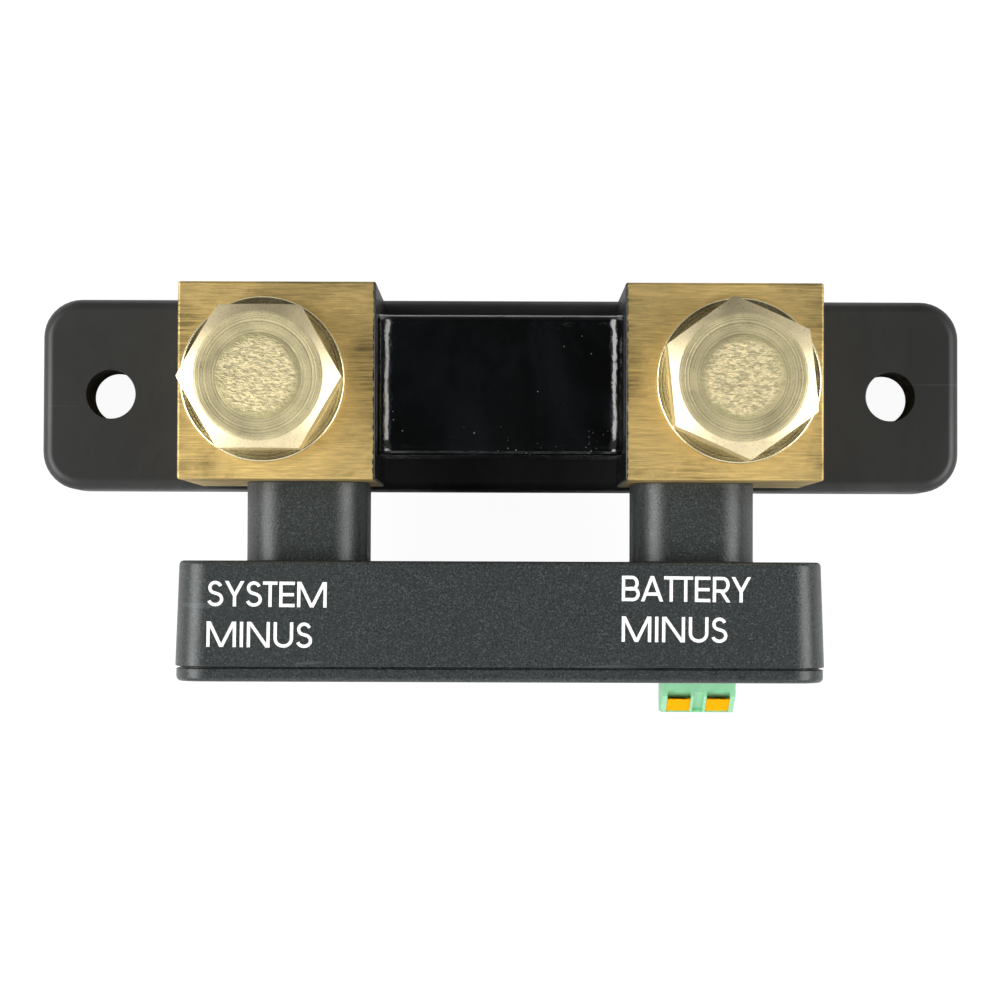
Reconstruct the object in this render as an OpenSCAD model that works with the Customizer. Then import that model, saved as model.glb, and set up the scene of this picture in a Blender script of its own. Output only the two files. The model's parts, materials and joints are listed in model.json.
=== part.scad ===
// Battery monitor shunt. Two brass terminal blocks stand on a moulded base and are
// joined by a stack of resistor strips. A housing on the front side holds the board
// that measures the voltage across the strips, with a plug-in terminal at its front.
// +X runs from the system block to the battery block, +Y points away from the
// housing and +Z up. The origin is midway between the two mounting holes, on the
// underside of the base. All sizes are in millimetres.

/* [Base plate] */
// Length of the base beyond each terminal block
base_end_length = 20.9; // [19:0.1:40]
// Width of the base that shows in front of and behind the blocks
base_side_margin = 0.5; // [0:0.1:6]
// Height of the base
base_height = 9; // [7:0.5:20]
// Radius of the upright corners
base_corner_r = 5; // [2:0.5:8]
// Rounding of the top edge
base_edge_r = 1.5; // [0.5:0.1:3]
// Distance from the end of the base to the centre of a mounting hole
mounting_hole_inset = 9; // [6:0.5:15]
// Diameter of a mounting hole
mounting_hole_d = 6.4; // [4:0.1:8]
// Thickness of the roof over the pockets in the underside
core_roof = 2.5; // [1.5:0.1:4]
// Thickness of the ribs between the pockets
core_rib = 2; // [1:0.1:3]
// Thickness of the base's side walls beside the pockets
core_wall = 2.5; // [1.5:0.1:4]

/* [Terminal blocks] */
// Width of a block along X
block_width = 24; // [20:0.5:40]
// Depth of a block along Y
block_depth = 24; // [20:0.5:40]
// Height of a block
block_height = 28.6; // [24:0.1:45]
// Distance between the two blocks
block_gap = 30.2; // [20:0.1:60]
// How far the bolt stands outward of the block's centre
bolt_offset = 1.6; // [0:0.1:3]

/* [Terminal bolts and washers] */
// Thread diameter of a bolt
bolt_d = 10; // [8:1:12]
// Length of a bolt under its head
bolt_length = 20; // [16:1:25]
// Width across the flats of a bolt head
head_flats = 17; // [13:1:20]
// Height of a bolt head
head_height = 6.4; // [5:0.1:8]
// Turn of the system bolt's head
system_bolt_angle = 0; // [0:1:59]
// Turn of the battery bolt's head
battery_bolt_angle = 36; // [0:1:59]
// Outer diameter of a washer
washer_d = 20; // [18:0.5:25]
// Thickness of a washer
washer_t = 2; // [1:0.1:3]

/* [Resistor strips] */
// Thickness of a strip
strip_t = 1.9; // [1:0.1:2.5]
// Width of a strip along Y
strip_width = 17.4; // [12:0.1:22]
// Space between two strips
strip_space = 1.6; // [1:0.1:2.5]
// Height of the lowest strip above the base
strip_lift = 8.1; // [7.5:0.1:10]
// How far a strip is soldered into a block
strip_engage = 3; // [2:0.1:4]

/* [Base screws] */
// Thread diameter of a screw that holds a block to the base
base_screw_d = 5; // [4:0.5:6]
// Length of a screw under its head
base_screw_length = 12; // [10:0.5:12]
// Distance from the side of a block to a screw's axis
base_screw_inset = 4.5; // [4:0.1:6]

/* [Electronics housing] */
// Height of the housing
housing_height = 32; // [26:0.5:36]
// Depth of the shell, from its back to the parting line
shell_depth = 12.95; // [10:0.05:20]
// Distance from a neck's centre line to the end of the housing at the parting line
housing_end = 16; // [12:0.1:25]
// How much narrower the back of the shell is, on each end
housing_draft = 0.45; // [0:0.05:1]
// Thickness of the housing's walls
housing_wall = 2; // [1.2:0.1:2.5]
// Radius of the housing's long edges
housing_corner_r = 4; // [2.5:0.1:6]
// Height of the housing's top above the sense screws
housing_above_sense = 12; // [10:0.1:15]
// Thickness of the front cover
cover_t = 1.85; // [1.2:0.05:3]
// How far the cover's edge is set back from the shell's outside
cover_inset = 0.12; // [0:0.01:0.4]
// Width of the groove at the parting line
parting_groove = 0.25; // [0.1:0.05:0.5]

/* [Housing necks] */
// Height of the sense screws above the base
sense_height = 13; // [11:0.1:16]
// Distance from a block's centre to a neck's centre line, towards the middle
neck_offset = 3.1; // [0:0.1:5]
// Length of a neck, from the block to the shell
neck_length = 9.8; // [6:0.1:20]
// Width of a neck
neck_width = 15; // [12:0.1:18]
// Height of a neck
neck_height = 18; // [12:0.1:20]
// Radius of a neck's edges
neck_corner_r = 4.75; // [2:0.05:6]

/* [Circuit board] */
// Thickness of the board
board_t = 1.6; // [1:0.1:2]
// Distance from the inside of the shell's back to the board
board_standoff = 2.2; // [1.5:0.1:4]
// Width across the flats of a sense pillar
pillar_flats = 7; // [6:0.5:8]
// Length of a sense pillar's stud inside the block
stud_length = 5.5; // [4:0.5:6]
// Diameter of a sense pillar's stud
stud_d = 4; // [3:0.5:4]

/* [Plug-in terminal] */
// Distance between the terminal's two poles
pole_pitch = 5; // [5:0.1:7]
// Distance from the battery neck's centre line to the terminal's, outward
terminal_offset = 1.35; // [0:0.05:4]
// Thickness of the terminal's outer side walls
terminal_side_wall = 0.65; // [0.5:0.05:1.2]
// Height of the terminal
terminal_height = 9.5; // [9:0.1:12]
// Height of the terminal's underside above the housing's
terminal_lift = 7.5; // [4:0.1:12]
// How far the terminal stands out of the front cover
terminal_reach = 4.45; // [4:0.05:8]
// Width of a release lever
lever_width = 2.8; // [2:0.1:3.5]
// Diameter of a wire entry
wire_entry_d = 2.2; // [1.5:0.1:2.4]

/* [Clearances] */
// Radial clearance of a bolt in its block
bolt_clearance = 0.05; // [0.02:0.01:0.1]
// Clearance on each side of a lever in its slot
lever_clearance = 0.1; // [0.05:0.01:0.3]
// Clearance round a part that stands in an opening of the cover
opening_clearance = 0.2; // [0.1:0.05:0.5]
// Clearance between the board and the shell's walls
board_clearance = 0.4; // [0.2:0.05:1]

/* [Hidden] */

$fn = 64;
arc_steps = 8;           // flats in a quarter turn of a rounded outline
past = 1;                // how far a cut runs past the surface that it opens
strip_count = 4;
pole_count = 2;

// Colours of the finishes
brass = [0.72, 0.61, 0.36];
plated_brass = [0.80, 0.71, 0.46];
steel = [0.70, 0.71, 0.72];
base_black = [0.12, 0.12, 0.13];
housing_black = [0.20, 0.21, 0.22];
resistor_black = [0.05, 0.05, 0.06];
board_green = [0.10, 0.35, 0.20];
terminal_green = [0.45, 0.78, 0.58];
lever_orange = [1.0, 0.68, 0.05];
gold = [0.83, 0.68, 0.30];
chip_black = [0.08, 0.08, 0.08];
nylon = [0.90, 0.89, 0.84];

// Blocks and bolts
block_x = block_gap / 2 + block_width / 2;
bolt_x = block_x + bolt_offset;
block_top = base_height + block_height;
head_bottom = block_top + washer_t;
bolt_hole_r = bolt_d / 2 + bolt_clearance;
bolt_hole_depth = bolt_length - washer_t + 2.5;
washer_hole_d = bolt_d + 0.5;
block_edge = 0.3;

// Base
base_length = block_gap + 2 * block_width + 2 * base_end_length;
base_depth = block_depth + 2 * base_side_margin;
mounting_hole_x = base_length / 2 - mounting_hole_inset;
block_pad = 2.1;         // width of solid base beside each block's inner face
core_columns = 4;
core_rows = 2;

// Base screws
base_screw_head_d = base_screw_d * 1.7;
base_screw_head_h = 2.8;
base_screw_recess = base_screw_head_h + 0.6;
base_screw_spacing = block_width - 2 * base_screw_inset;
base_screw_socket_flats = 3;

// Housing, measured along -Y from the blocks' front faces
sense_z = base_height + sense_height;
neck_x = block_x - neck_offset;
block_front = -block_depth / 2;
shell_back = block_front - neck_length;
shell_front = shell_back - shell_depth;
cover_front = shell_front - cover_t;
housing_top = sense_z + housing_above_sense;
housing_bottom = housing_top - housing_height;
housing_width = 2 * (neck_x + housing_end);
pillar_corner_r = pillar_flats / 2 / cos(30);
neck_bore_r = pillar_corner_r + 0.25;
board_boss_r = neck_bore_r + 1.7;
shell_inside = shell_back - housing_wall;
cover_lip_t = 1.2;
cover_lip_depth = 2;
lip_clearance = 0.1;
lip_inset = housing_wall + lip_clearance + housing_draft * cover_lip_depth / shell_depth;
catch_width = 8;
catch_height = 0.45;
catch_x = housing_end + 9;

// Board
board_back = shell_inside - board_standoff;
board_front = board_back - board_t;
board_width = housing_width - 2 * housing_draft - 2 * housing_wall - 2 * board_clearance;
board_height = housing_height - 2 * housing_wall - 2 * board_clearance;
board_edge_x = board_width / 2;
board_middle_z = housing_bottom + housing_height / 2;
board_corner_r = 3;
board_screw_d = 3;
board_screw_head_d = 5.5;
board_screw_head_h = 2;
board_screw_length = 8;

// Terminal: its profile in the YZ plane steps back from the front edge at the top
terminal_x = neck_x + terminal_offset;
lever_slot_width = lever_width + 2 * lever_clearance;
terminal_width = (pole_count - 1) * pole_pitch + lever_slot_width + 2 * terminal_side_wall;
terminal_bottom = housing_bottom + terminal_lift;
terminal_top = terminal_bottom + terminal_height;
terminal_front = cover_front - terminal_reach;
slope_run = 2.2;         // how far the front slopes back towards the top
slope_rise = 4.5;        // height of that slope
slope_angle = atan2(slope_run, slope_rise);
lever_top = 1.1;         // from the slope's upper end to the lever's
lever_length = 4.15;
lever_t = 0.6;
lever_inset = 0.45;      // depth of a lever's face behind the sloping front
pivot_r = 0.5;           // round bead along the back of the lever's lower end
pivot_rise = 0.5;        // from the lever's lower end up to its pivot
trunnion_r = 0.35;
trunnion_reach = 0.3;    // how far a trunnion stands out of the lever's side
trunnion_clearance = 0.05;
slot_depth = 0.98;       // from the slope's upper end back to the slot's rear wall
slot_back = terminal_front + slope_run + slot_depth;
lever_floor_gap = 0.3;
cavity_side = 0.3;       // how much wider than a slot its spring cavity is, on each side
cavity_overlap = 0.4;
cavity_roof = 1.4;
cavity_floor = 0.7;
cavity_rear_wall = 1.2;
contact_t = 0.6;
contact_width = 2.6;
contact_top = terminal_bottom + cavity_floor + contact_t;
wire_entry_z = contact_top + wire_entry_d / 2;
spring_t = 0.35;
spring_width = 2.4;
spring_gap = 0.2;        // between a spring and the cavity that holds it
web_groove_width = 1.35;
web_groove_depth = 0.7;
pin_size = 0.6;
pin_tail = 1.2;
pin_gap = 0.05;
pin_hole_r = 0.5;
tail_z = terminal_bottom + cavity_floor + pin_size / 2;

// Where a lever's pivot lies in the YZ plane
pivot_along = lever_top + lever_length - pivot_rise;
pivot_deep = lever_inset + pivot_r;
pivot_y = terminal_front + slope_run - pivot_along * sin(slope_angle)
          + pivot_deep * cos(slope_angle);
pivot_z = terminal_top - pivot_along * cos(slope_angle) - pivot_deep * sin(slope_angle);
lever_foot_z = terminal_top - (lever_top + lever_length) * cos(slope_angle)
               - (lever_inset + lever_t) * sin(slope_angle);

// Data socket
socket_x = -3;
socket_width = 9.9;
socket_height = 5.7;
socket_z = board_middle_z - 4;
socket_wall = 0.9;
socket_pins = 4;
socket_pitch = 2;
socket_floor = 1.6;
socket_setback = 0.15;   // how far its mouth lies behind the cover's face
socket_pin_size = 0.5;
socket_hole_r = 0.42;

// Lights
led_size = 1.6;
led_height = 1;
pipe_d = 3;
pipe_flange_d = 4.4;
pipe_flange_t = 0.8;
pipe_proud = 0.3;
light_spacing = 6;
light_x = -neck_x + 3;
light_z = board_middle_z - 4;

// Shapes

// Outline of a rectangle centred on the origin with round corners
function rounded_outline(size, r) = [
    for (quarter = [0:3], step = [0:arc_steps])
        let (a = 90 * (quarter + step / arc_steps),
             sx = (quarter == 0 || quarter == 3) ? 1 : -1,
             sy = (quarter < 2) ? 1 : -1)
        [sx * (size[0] / 2 - r) + r * cos(a), sy * (size[1] / 2 - r) + r * sin(a)]
];

// Outline, standing on the X axis, with only its two upper corners round
function tunnel_outline(width, height, r) = concat(
    [[-width / 2, 0], [width / 2, 0]],
    [for (step = [0:arc_steps]) let (a = 90 * step / arc_steps)
        [width / 2 - r + r * cos(a), height - r + r * sin(a)]],
    [for (step = [0:arc_steps]) let (a = 90 + 90 * step / arc_steps)
        [-width / 2 + r + r * cos(a), height - r + r * sin(a)]]
);

// Extrudes an XZ outline along -Y, from y_start over length
module along_front(y_start, length)
    translate([0, y_start, 0]) rotate([90, 0, 0]) linear_extrude(length) children();

// Extrudes a YZ outline along X, centred on x
module across(x, width)
    translate([x - width / 2, 0, 0]) rotate([90, 0, 90]) linear_extrude(width) children();

// A cylinder whose axis runs along -Y from y_start
module front_cylinder(x, y_start, z, r, length)
    translate([x, y_start, z]) rotate([90, 0, 0]) cylinder(r = r, h = length);

// A box from its lowest corner and its highest corner
module span_box(low, high) translate(low) cube(high - low);

// A plate on the floor with round upright corners and a rounded top edge
module rounded_slab(length, depth, height, corner_r, edge_r)
    intersection() {
        linear_extrude(height) polygon(rounded_outline([length, depth], corner_r));
        along_front(depth / 2, depth) polygon(tunnel_outline(length, height, edge_r));
        across(0, length) polygon(tunnel_outline(depth, height, edge_r));
    }

// Base

module at_base_screws()
    for (side = [-1, 1], place = [-1, 1])
        translate([side * block_x + place * base_screw_spacing / 2, 0, 0]) children();

module core_pockets() {
    core_length = block_gap - 2 * block_pad;
    pocket_length = (core_length - (core_columns - 1) * core_rib) / core_columns;
    core_depth = base_depth - 2 * core_wall;
    pocket_depth = (core_depth - (core_rows - 1) * core_rib) / core_rows;
    for (column = [0:core_columns - 1], row = [0:core_rows - 1])
        translate([-core_length / 2 + column * (pocket_length + core_rib),
                   -core_depth / 2 + row * (pocket_depth + core_rib), -past])
            cube([pocket_length, pocket_depth, base_height - core_roof + past]);
}

module base_plate() color(base_black)
    difference() {
        rounded_slab(base_length, base_depth, base_height, base_corner_r, base_edge_r);
        for (side = [-1, 1]) translate([side * mounting_hole_x, 0, -past])
            cylinder(d = mounting_hole_d, h = base_height + 2 * past);
        core_pockets();
        at_base_screws() {
            translate([0, 0, -past])
                cylinder(r = base_screw_d / 2 + 0.25, h = base_height + 2 * past);
            translate([0, 0, -past])
                cylinder(r = base_screw_head_d / 2 + 0.4, h = base_screw_recess + past);
        }
    }

module base_screws() color(steel)
    at_base_screws() translate([0, 0, base_screw_recess]) difference() {
        union() {
            cylinder(d = base_screw_d, h = base_screw_length);
            translate([0, 0, -base_screw_head_h])
                cylinder(d = base_screw_head_d, h = base_screw_head_h);
        }
        translate([0, 0, -base_screw_head_h - past]) rotate(30)
            cylinder(d = base_screw_socket_flats / cos(30), h = 1.6 + past, $fn = 6);
    }

// Terminal blocks: side is -1 for the system block and 1 for the battery block

module resistor_slots(side) {
    slot_reach = strip_engage + past;
    for (i = [0:strip_count - 1])
        translate([side * (block_gap / 2 - past + slot_reach / 2), 0,
                   base_height + strip_lift + i * (strip_t + strip_space) + strip_t / 2])
            cube([slot_reach, strip_width, strip_t], center = true);
}

module block_body() {
    upright = [block_width, block_depth];
    c = block_edge;
    corner = [
        [-upright[0] / 2 + c, -upright[1] / 2], [upright[0] / 2 - c, -upright[1] / 2],
        [upright[0] / 2, -upright[1] / 2 + c], [upright[0] / 2, upright[1] / 2 - c],
        [upright[0] / 2 - c, upright[1] / 2], [-upright[0] / 2 + c, upright[1] / 2],
        [-upright[0] / 2, upright[1] / 2 - c], [-upright[0] / 2, -upright[1] / 2 + c]
    ];
    translate([0, 0, base_height]) linear_extrude(block_height) polygon(corner);
}

module terminal_block(side) color(brass)
    difference() {
        translate([side * block_x, 0, 0]) block_body();
        translate([side * bolt_x, 0, block_top - bolt_hole_depth])
            cylinder(r = bolt_hole_r, h = bolt_hole_depth + past);
        translate([side * bolt_x, 0, block_top - 0.5])
            cylinder(r1 = bolt_hole_r, r2 = bolt_hole_r + 0.5 + past, h = 0.5 + past);
        for (place = [-1, 1])
            translate([side * block_x + place * base_screw_spacing / 2, 0, base_height - past])
                cylinder(r = base_screw_d / 2 + 0.05,
                         h = base_screw_recess + base_screw_length - base_height + 0.6 + past);
        front_cylinder(side * neck_x, block_front + stud_length + 0.5, sense_z,
                       stud_d / 2 + 0.05, stud_length + 0.5 + past);
        resistor_slots(side);
    }

module system_block() terminal_block(-1);
module battery_block() terminal_block(1);

// Resistor strips, numbered from the bottom

module resistor_strip(number) color(resistor_black)
    translate([0, 0, base_height + strip_lift + (number - 0.5) * strip_t
                     + (number - 1) * strip_space])
        cube([block_gap + 2 * strip_engage, strip_width, strip_t], center = true);

// Bolts and washers

module hex_head(angle) {
    corner_r = head_flats / 2 / cos(30);
    flat_r = head_flats / 2 * 0.91;  // radius of the flat that the top chamfer leaves
    fall = tan(30);
    intersection() {
        rotate(angle) cylinder(r = corner_r, h = head_height, $fn = 6);
        rotate_extrude() polygon([
            [0, 0], [corner_r + past, 0],
            [corner_r + past, head_height - (corner_r + past - flat_r) * fall],
            [flat_r, head_height], [0, head_height]
        ]);
    }
}

module terminal_bolt(side, angle) color(plated_brass)
    translate([side * bolt_x, 0, head_bottom]) {
        tip = 0.8;
        hex_head(angle);
        translate([0, 0, -bolt_length + tip]) cylinder(d = bolt_d, h = bolt_length - tip);
        translate([0, 0, -bolt_length]) cylinder(d1 = bolt_d - 2 * tip, d2 = bolt_d, h = tip);
    }

module terminal_washer(side) color(plated_brass)
    translate([side * bolt_x, 0, block_top]) difference() {
        cylinder(d = washer_d, h = washer_t);
        translate([0, 0, -past]) cylinder(d = washer_hole_d, h = washer_t + 2 * past);
    }

module system_bolt() terminal_bolt(-1, system_bolt_angle);
module battery_bolt() terminal_bolt(1, battery_bolt_angle);
module system_washer() terminal_washer(-1);
module battery_washer() terminal_washer(1);

// Housing

// The shell's outline in the XZ plane, inset on every side
module housing_outline(inset)
    translate([0, board_middle_z])
        polygon(rounded_outline([housing_width - 2 * inset, housing_height - 2 * inset],
                                max(housing_corner_r - inset, 0.5)));

// The drafted plan of the shell, inset on both ends
module drafted_plan(inset)
    polygon([
        [-housing_width / 2 + inset, shell_front - past],
        [housing_width / 2 - inset, shell_front - past],
        [housing_width / 2 - housing_draft - inset, shell_back],
        [-housing_width / 2 + housing_draft + inset, shell_back]
    ]);

module neck_body(side)
    along_front(block_front, neck_length + housing_wall / 2)
        translate([side * neck_x, sense_z])
            polygon(rounded_outline([neck_width, neck_height], neck_corner_r));

module cover_catches(width, height, grow)
    for (side = [-1, 1], edge = [-1, 1])
        translate([side * catch_x, shell_front + 1.1,
                   board_middle_z + edge * (housing_height / 2 - lip_inset)])
            cube([width, height + 2 * grow, 2 * (catch_height + grow)], center = true);

module housing_shell() color(housing_black)
    difference() {
        union() {
            intersection() {
                along_front(shell_back, shell_depth) housing_outline(0);
                translate([0, 0, housing_bottom - past])
                    linear_extrude(housing_height + 2 * past) drafted_plan(0);
            }
            neck_body(-1);
            neck_body(1);
        }
        difference() {
            intersection() {
                along_front(shell_inside, shell_depth) housing_outline(housing_wall);
                translate([0, 0, housing_bottom])
                    linear_extrude(housing_height) drafted_plan(housing_wall);
            }
            for (side = [-1, 1])
                front_cylinder(side * neck_x, shell_inside + past, sense_z,
                               board_boss_r, board_standoff + past);
        }
        for (side = [-1, 1])
            front_cylinder(side * neck_x, block_front + past, sense_z, neck_bore_r,
                           neck_length + housing_wall + board_standoff + 2 * past);
        cover_catches(catch_width + 1, 1, 0.15);
    }

// The rectangle that an opening in the cover leaves round a part
module cover_opening(x, z, width, height)
    translate([x - width / 2 - opening_clearance, cover_front - past,
               z - height / 2 - opening_clearance])
        cube([width + 2 * opening_clearance, cover_t + cover_lip_depth + 2 * past,
              height + 2 * opening_clearance]);

module front_cover() color(housing_black)
    difference() {
        union() {
            along_front(shell_front - parting_groove, cover_t - parting_groove)
                housing_outline(cover_inset);
            along_front(shell_front, parting_groove) housing_outline(0.6);
            difference() {
                along_front(shell_front + cover_lip_depth, cover_lip_depth)
                    housing_outline(lip_inset);
                along_front(shell_front + cover_lip_depth + past, cover_lip_depth + 2 * past)
                    housing_outline(lip_inset + cover_lip_t);
            }
            cover_catches(catch_width, 1, 0);
        }
        cover_opening(terminal_x, terminal_bottom + terminal_height / 2,
                      terminal_width, terminal_height);
        cover_opening(socket_x, socket_z, socket_width, socket_height);
        for (i = [0, 1])
            front_cylinder(light_x + i * light_spacing, shell_front + past, light_z,
                           pipe_d / 2 + 0.1, cover_t + 2 * past);
    }

// Board and what holds it

module at_pole(number) translate([terminal_x + (number - 1.5) * pole_pitch, 0, 0]) children();

module circuit_board() color(board_green)
    difference() {
        along_front(board_back, board_t) translate([0, board_middle_z])
            polygon(rounded_outline([board_width, board_height], board_corner_r));
        for (side = [-1, 1])
            front_cylinder(side * neck_x, board_back + past, sense_z,
                           board_screw_d / 2 + 0.15, board_t + 2 * past);
        for (number = [1:pole_count])
            at_pole(number) front_cylinder(0, board_back + past, tail_z,
                                           pin_hole_r, board_t + 2 * past);
        at_socket_pins() front_cylinder(0, board_back + past, 0, socket_hole_r,
                                        board_t + 2 * past);
    }

// A hexagonal pillar from the block to the board, with a stud in the block
module sense_pillar(side) color(brass)
    difference() {
        union() {
            translate([side * neck_x, block_front, sense_z]) rotate([90, 0, 0])
                cylinder(r = pillar_corner_r, h = block_front - board_back, $fn = 6);
            front_cylinder(side * neck_x, block_front + stud_length, sense_z,
                           stud_d / 2, stud_length + past);
        }
        front_cylinder(side * neck_x, board_back + board_screw_length, sense_z,
                       board_screw_d / 2 + 0.05, board_screw_length + past);
    }

module system_sense_pillar() sense_pillar(-1);
module battery_sense_pillar() sense_pillar(1);

module board_screws() color(steel)
    for (side = [-1, 1]) difference() {
        union() {
            front_cylinder(side * neck_x, board_front + board_screw_length, sense_z,
                           board_screw_d / 2, board_screw_length);
            front_cylinder(side * neck_x, board_front, sense_z,
                           board_screw_head_d / 2, board_screw_head_h);
        }
        for (turn = [0, 90])
            translate([side * neck_x, board_front - board_screw_head_h, sense_z])
                rotate([0, turn, 0]) cube([2.8, 2, 0.7], center = true);
    }

// Plug-in terminal with two spring poles

// The terminal's side view: flat top, sloping front, upright lower front
module terminal_profile()
    polygon([
        [board_front, terminal_bottom], [terminal_front, terminal_bottom],
        [terminal_front, terminal_top - slope_rise],
        [terminal_front + slope_run, terminal_top], [board_front, terminal_top]
    ]);

// Places children with +Y along the slope from its upper end down, +Z out of it
module on_slope()
    translate([0, terminal_front + slope_run, terminal_top])
        rotate([90 - slope_angle, 0, 0]) mirror([0, 1, 0]) children();

// A cylinder along X through a lever's pivot, centred on the pole
module pivot_cylinder(r, width)
    translate([-width / 2, pivot_y, pivot_z]) rotate([0, 90, 0]) cylinder(r = r, h = width);

module lever_slot()
    span_box([-lever_slot_width / 2, terminal_front - past, lever_foot_z - lever_floor_gap],
             [lever_slot_width / 2, slot_back, terminal_top + past]);

module pole_cavity() {
    half = lever_slot_width / 2 + cavity_side;
    span_box([-half, slot_back - cavity_overlap, terminal_bottom + cavity_floor],
             [half, board_front - cavity_rear_wall, terminal_top - cavity_roof]);
}

module tail_hole()
    span_box([-pin_size / 2 - pin_gap, board_front - cavity_rear_wall - past,
              tail_z - pin_size / 2 - pin_gap],
             [pin_size / 2 + pin_gap, board_front + past, tail_z + pin_size / 2 + pin_gap]);

module terminal_housing() color(terminal_green)
    difference() {
        across(terminal_x, terminal_width) terminal_profile();
        for (number = [1:pole_count]) at_pole(number) {
            lever_slot();
            pole_cavity();
            tail_hole();
            front_cylinder(0, slot_back, wire_entry_z, wire_entry_d / 2,
                           slot_back - terminal_front + past);
            pivot_cylinder(trunnion_r + trunnion_clearance,
                           lever_width + 2 * (trunnion_reach + trunnion_clearance));
        }
        translate([terminal_x, 0, 0]) on_slope()
            translate([-web_groove_width / 2, 0.2, -web_groove_depth])
                cube([web_groove_width, 8, web_groove_depth + past]);
    }

module release_lever(number) color(lever_orange)
    at_pole(number) {
        on_slope() translate([-lever_width / 2, lever_top, -lever_inset - lever_t])
            cube([lever_width, lever_length, lever_t]);
        pivot_cylinder(pivot_r, lever_width);
        pivot_cylinder(trunnion_r, lever_width + 2 * trunnion_reach);
    }

// A bent strip spring in each pole, which clamps the wire against the contact
module clamp_springs() color(steel) {
    rear = board_front - cavity_rear_wall - spring_gap;
    roof = terminal_top - cavity_roof - spring_gap;
    nose = slot_back + 2 * spring_gap;
    foot = rear - 3.2;
    low = contact_top + spring_gap / 2;
    t = spring_t;
    for (number = [1:pole_count]) at_pole(number)
        across(0, spring_width) polygon([
            [rear, low], [rear, roof], [nose, roof], [foot, low],
            [foot + t, low], [nose + 2 * t, roof - t], [rear - t, roof - t], [rear - t, low]
        ]);
}

// A contact bar along each pole's floor, with a tail through the board
module terminal_contacts() color(gold)
    for (number = [1:pole_count]) at_pole(number) {
        low = terminal_bottom + cavity_floor;
        rear = board_front - cavity_rear_wall;
        span_box([-contact_width / 2, slot_back + spring_gap, low],
                 [contact_width / 2, rear, contact_top]);
        span_box([-pin_size / 2, rear - 2 * pin_size, low],
                 [pin_size / 2, board_back + pin_tail, low + pin_size]);
    }

// Data socket

module at_socket_pins()
    for (i = [0:socket_pins - 1])
        translate([socket_x + (i - (socket_pins - 1) / 2) * socket_pitch, 0, socket_z])
            children();

module socket_pin(y_front, y_back, grow)
    span_box([-socket_pin_size / 2 - grow, y_front, -socket_pin_size / 2 - grow],
             [socket_pin_size / 2 + grow, y_back, socket_pin_size / 2 + grow]);

module data_socket() color(nylon) {
    inner_width = socket_width - 2 * socket_wall;
    inner_height = socket_height - 2 * socket_wall;
    key_width = 3;
    key_length = 3.5;
    difference() {
        along_front(board_front, board_front - cover_front - socket_setback)
            translate([socket_x, socket_z]) square([socket_width, socket_height], center = true);
        along_front(board_front - socket_floor, board_front - cover_front)
            translate([socket_x, socket_z]) square([inner_width, inner_height], center = true);
        translate([socket_x - key_width / 2, cover_front - past,
                   socket_z + inner_height / 2 - past])
            cube([key_width, key_length + past, socket_wall + 2 * past]);
        at_socket_pins() socket_pin(board_front - socket_floor - past, board_front + past,
                                    pin_gap);
    }
}

module data_socket_pins() color(gold)
    at_socket_pins() socket_pin(cover_front + socket_floor, board_back + pin_tail, 0);

// Lights

module at_lights(first = 0, last = 1)
    for (i = [first:last]) translate([light_x + i * light_spacing, 0, light_z]) children();

module indicator_leds() color(nylon)
    at_lights() span_box([-led_size / 2, board_front - led_height, -led_size / 2],
                         [led_size / 2, board_front, led_size / 2]);

module light_pipe(index) color([0.95, 0.95, 0.97, 0.6])
    at_lights(index, index) {
        rear = board_front - led_height - 0.2;
        front_cylinder(0, rear, 0, pipe_d / 2, rear - cover_front + pipe_proud);
        front_cylinder(0, shell_front + pipe_flange_t, 0, pipe_flange_d / 2, pipe_flange_t);
    }

module status_light_pipe() light_pipe(0);
module link_light_pipe() light_pipe(1);

// Parts soldered to the front of the board

module on_board(x, z, depth) along_front(board_front, depth) translate([x, board_middle_z + z])
    children();

module radio_module() color(steel) {
    on_board(6, 7.5, 0.8) square([16, 11], center = true);
    on_board(8, 7.5, 2.4) square([10, 9], center = true);
}

module controller_chip() color(chip_black) on_board(-10, 7, 1.2) square([9, 9], center = true);

module voltage_regulator() color(chip_black) {
    on_board(board_edge_x - 5, 7, 1.8) square([6.5, 4], center = true);
    on_board(board_edge_x - 5, 10, 0.6) square([3, 2.6], center = true);
    for (i = [-1:1]) on_board(board_edge_x - 5 + i * 2.2, 4.2, 0.5)
        square([0.9, 2.2], center = true);
}

module buffer_capacitors() color(steel) {
    room = 1.35;   // left between their tops and the cover
    for (i = [0, 1])
        on_board(-board_edge_x + 5, -8 + i * 8, board_front - shell_front - room)
            circle(d = 6.3);
}

module board_passives() color(nylon) {
    chip = [2, 1.25];
    for (column = [0:1], row = [0:2])
        on_board(-board_edge_x + 3.5 + column * 3.4, 6 + row * 2.6, 0.6)
            square(chip, center = true);
    for (column = [0:3])
        on_board(8 + column * 3, -4, 0.6) square(chip, center = true);
}

base_plate();
base_screws();
system_block();
battery_block();
for (number = [1:strip_count])
    resistor_strip(number);
system_bolt();
battery_bolt();
system_washer();
battery_washer();
housing_shell();
front_cover();
circuit_board();
system_sense_pillar();
battery_sense_pillar();
board_screws();
terminal_housing();
for (number = [1:pole_count])
    release_lever(number);
clamp_springs();
terminal_contacts();
data_socket();
data_socket_pins();
indicator_leds();
status_light_pipe();
link_light_pipe();
radio_module();
controller_chip();
voltage_regulator();
buffer_capacitors();
board_passives();
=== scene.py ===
"""Battery monitor shunt: the visible pieces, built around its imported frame.

Laid out as an add-on: the sizes and colours are properties of the scene, and each piece
or group of like pieces has an operator. Lengths are in metres, in the frame's own axes:
+X towards the battery block, -Y towards the terminal and +Z up.
"""

import json
import math

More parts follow.
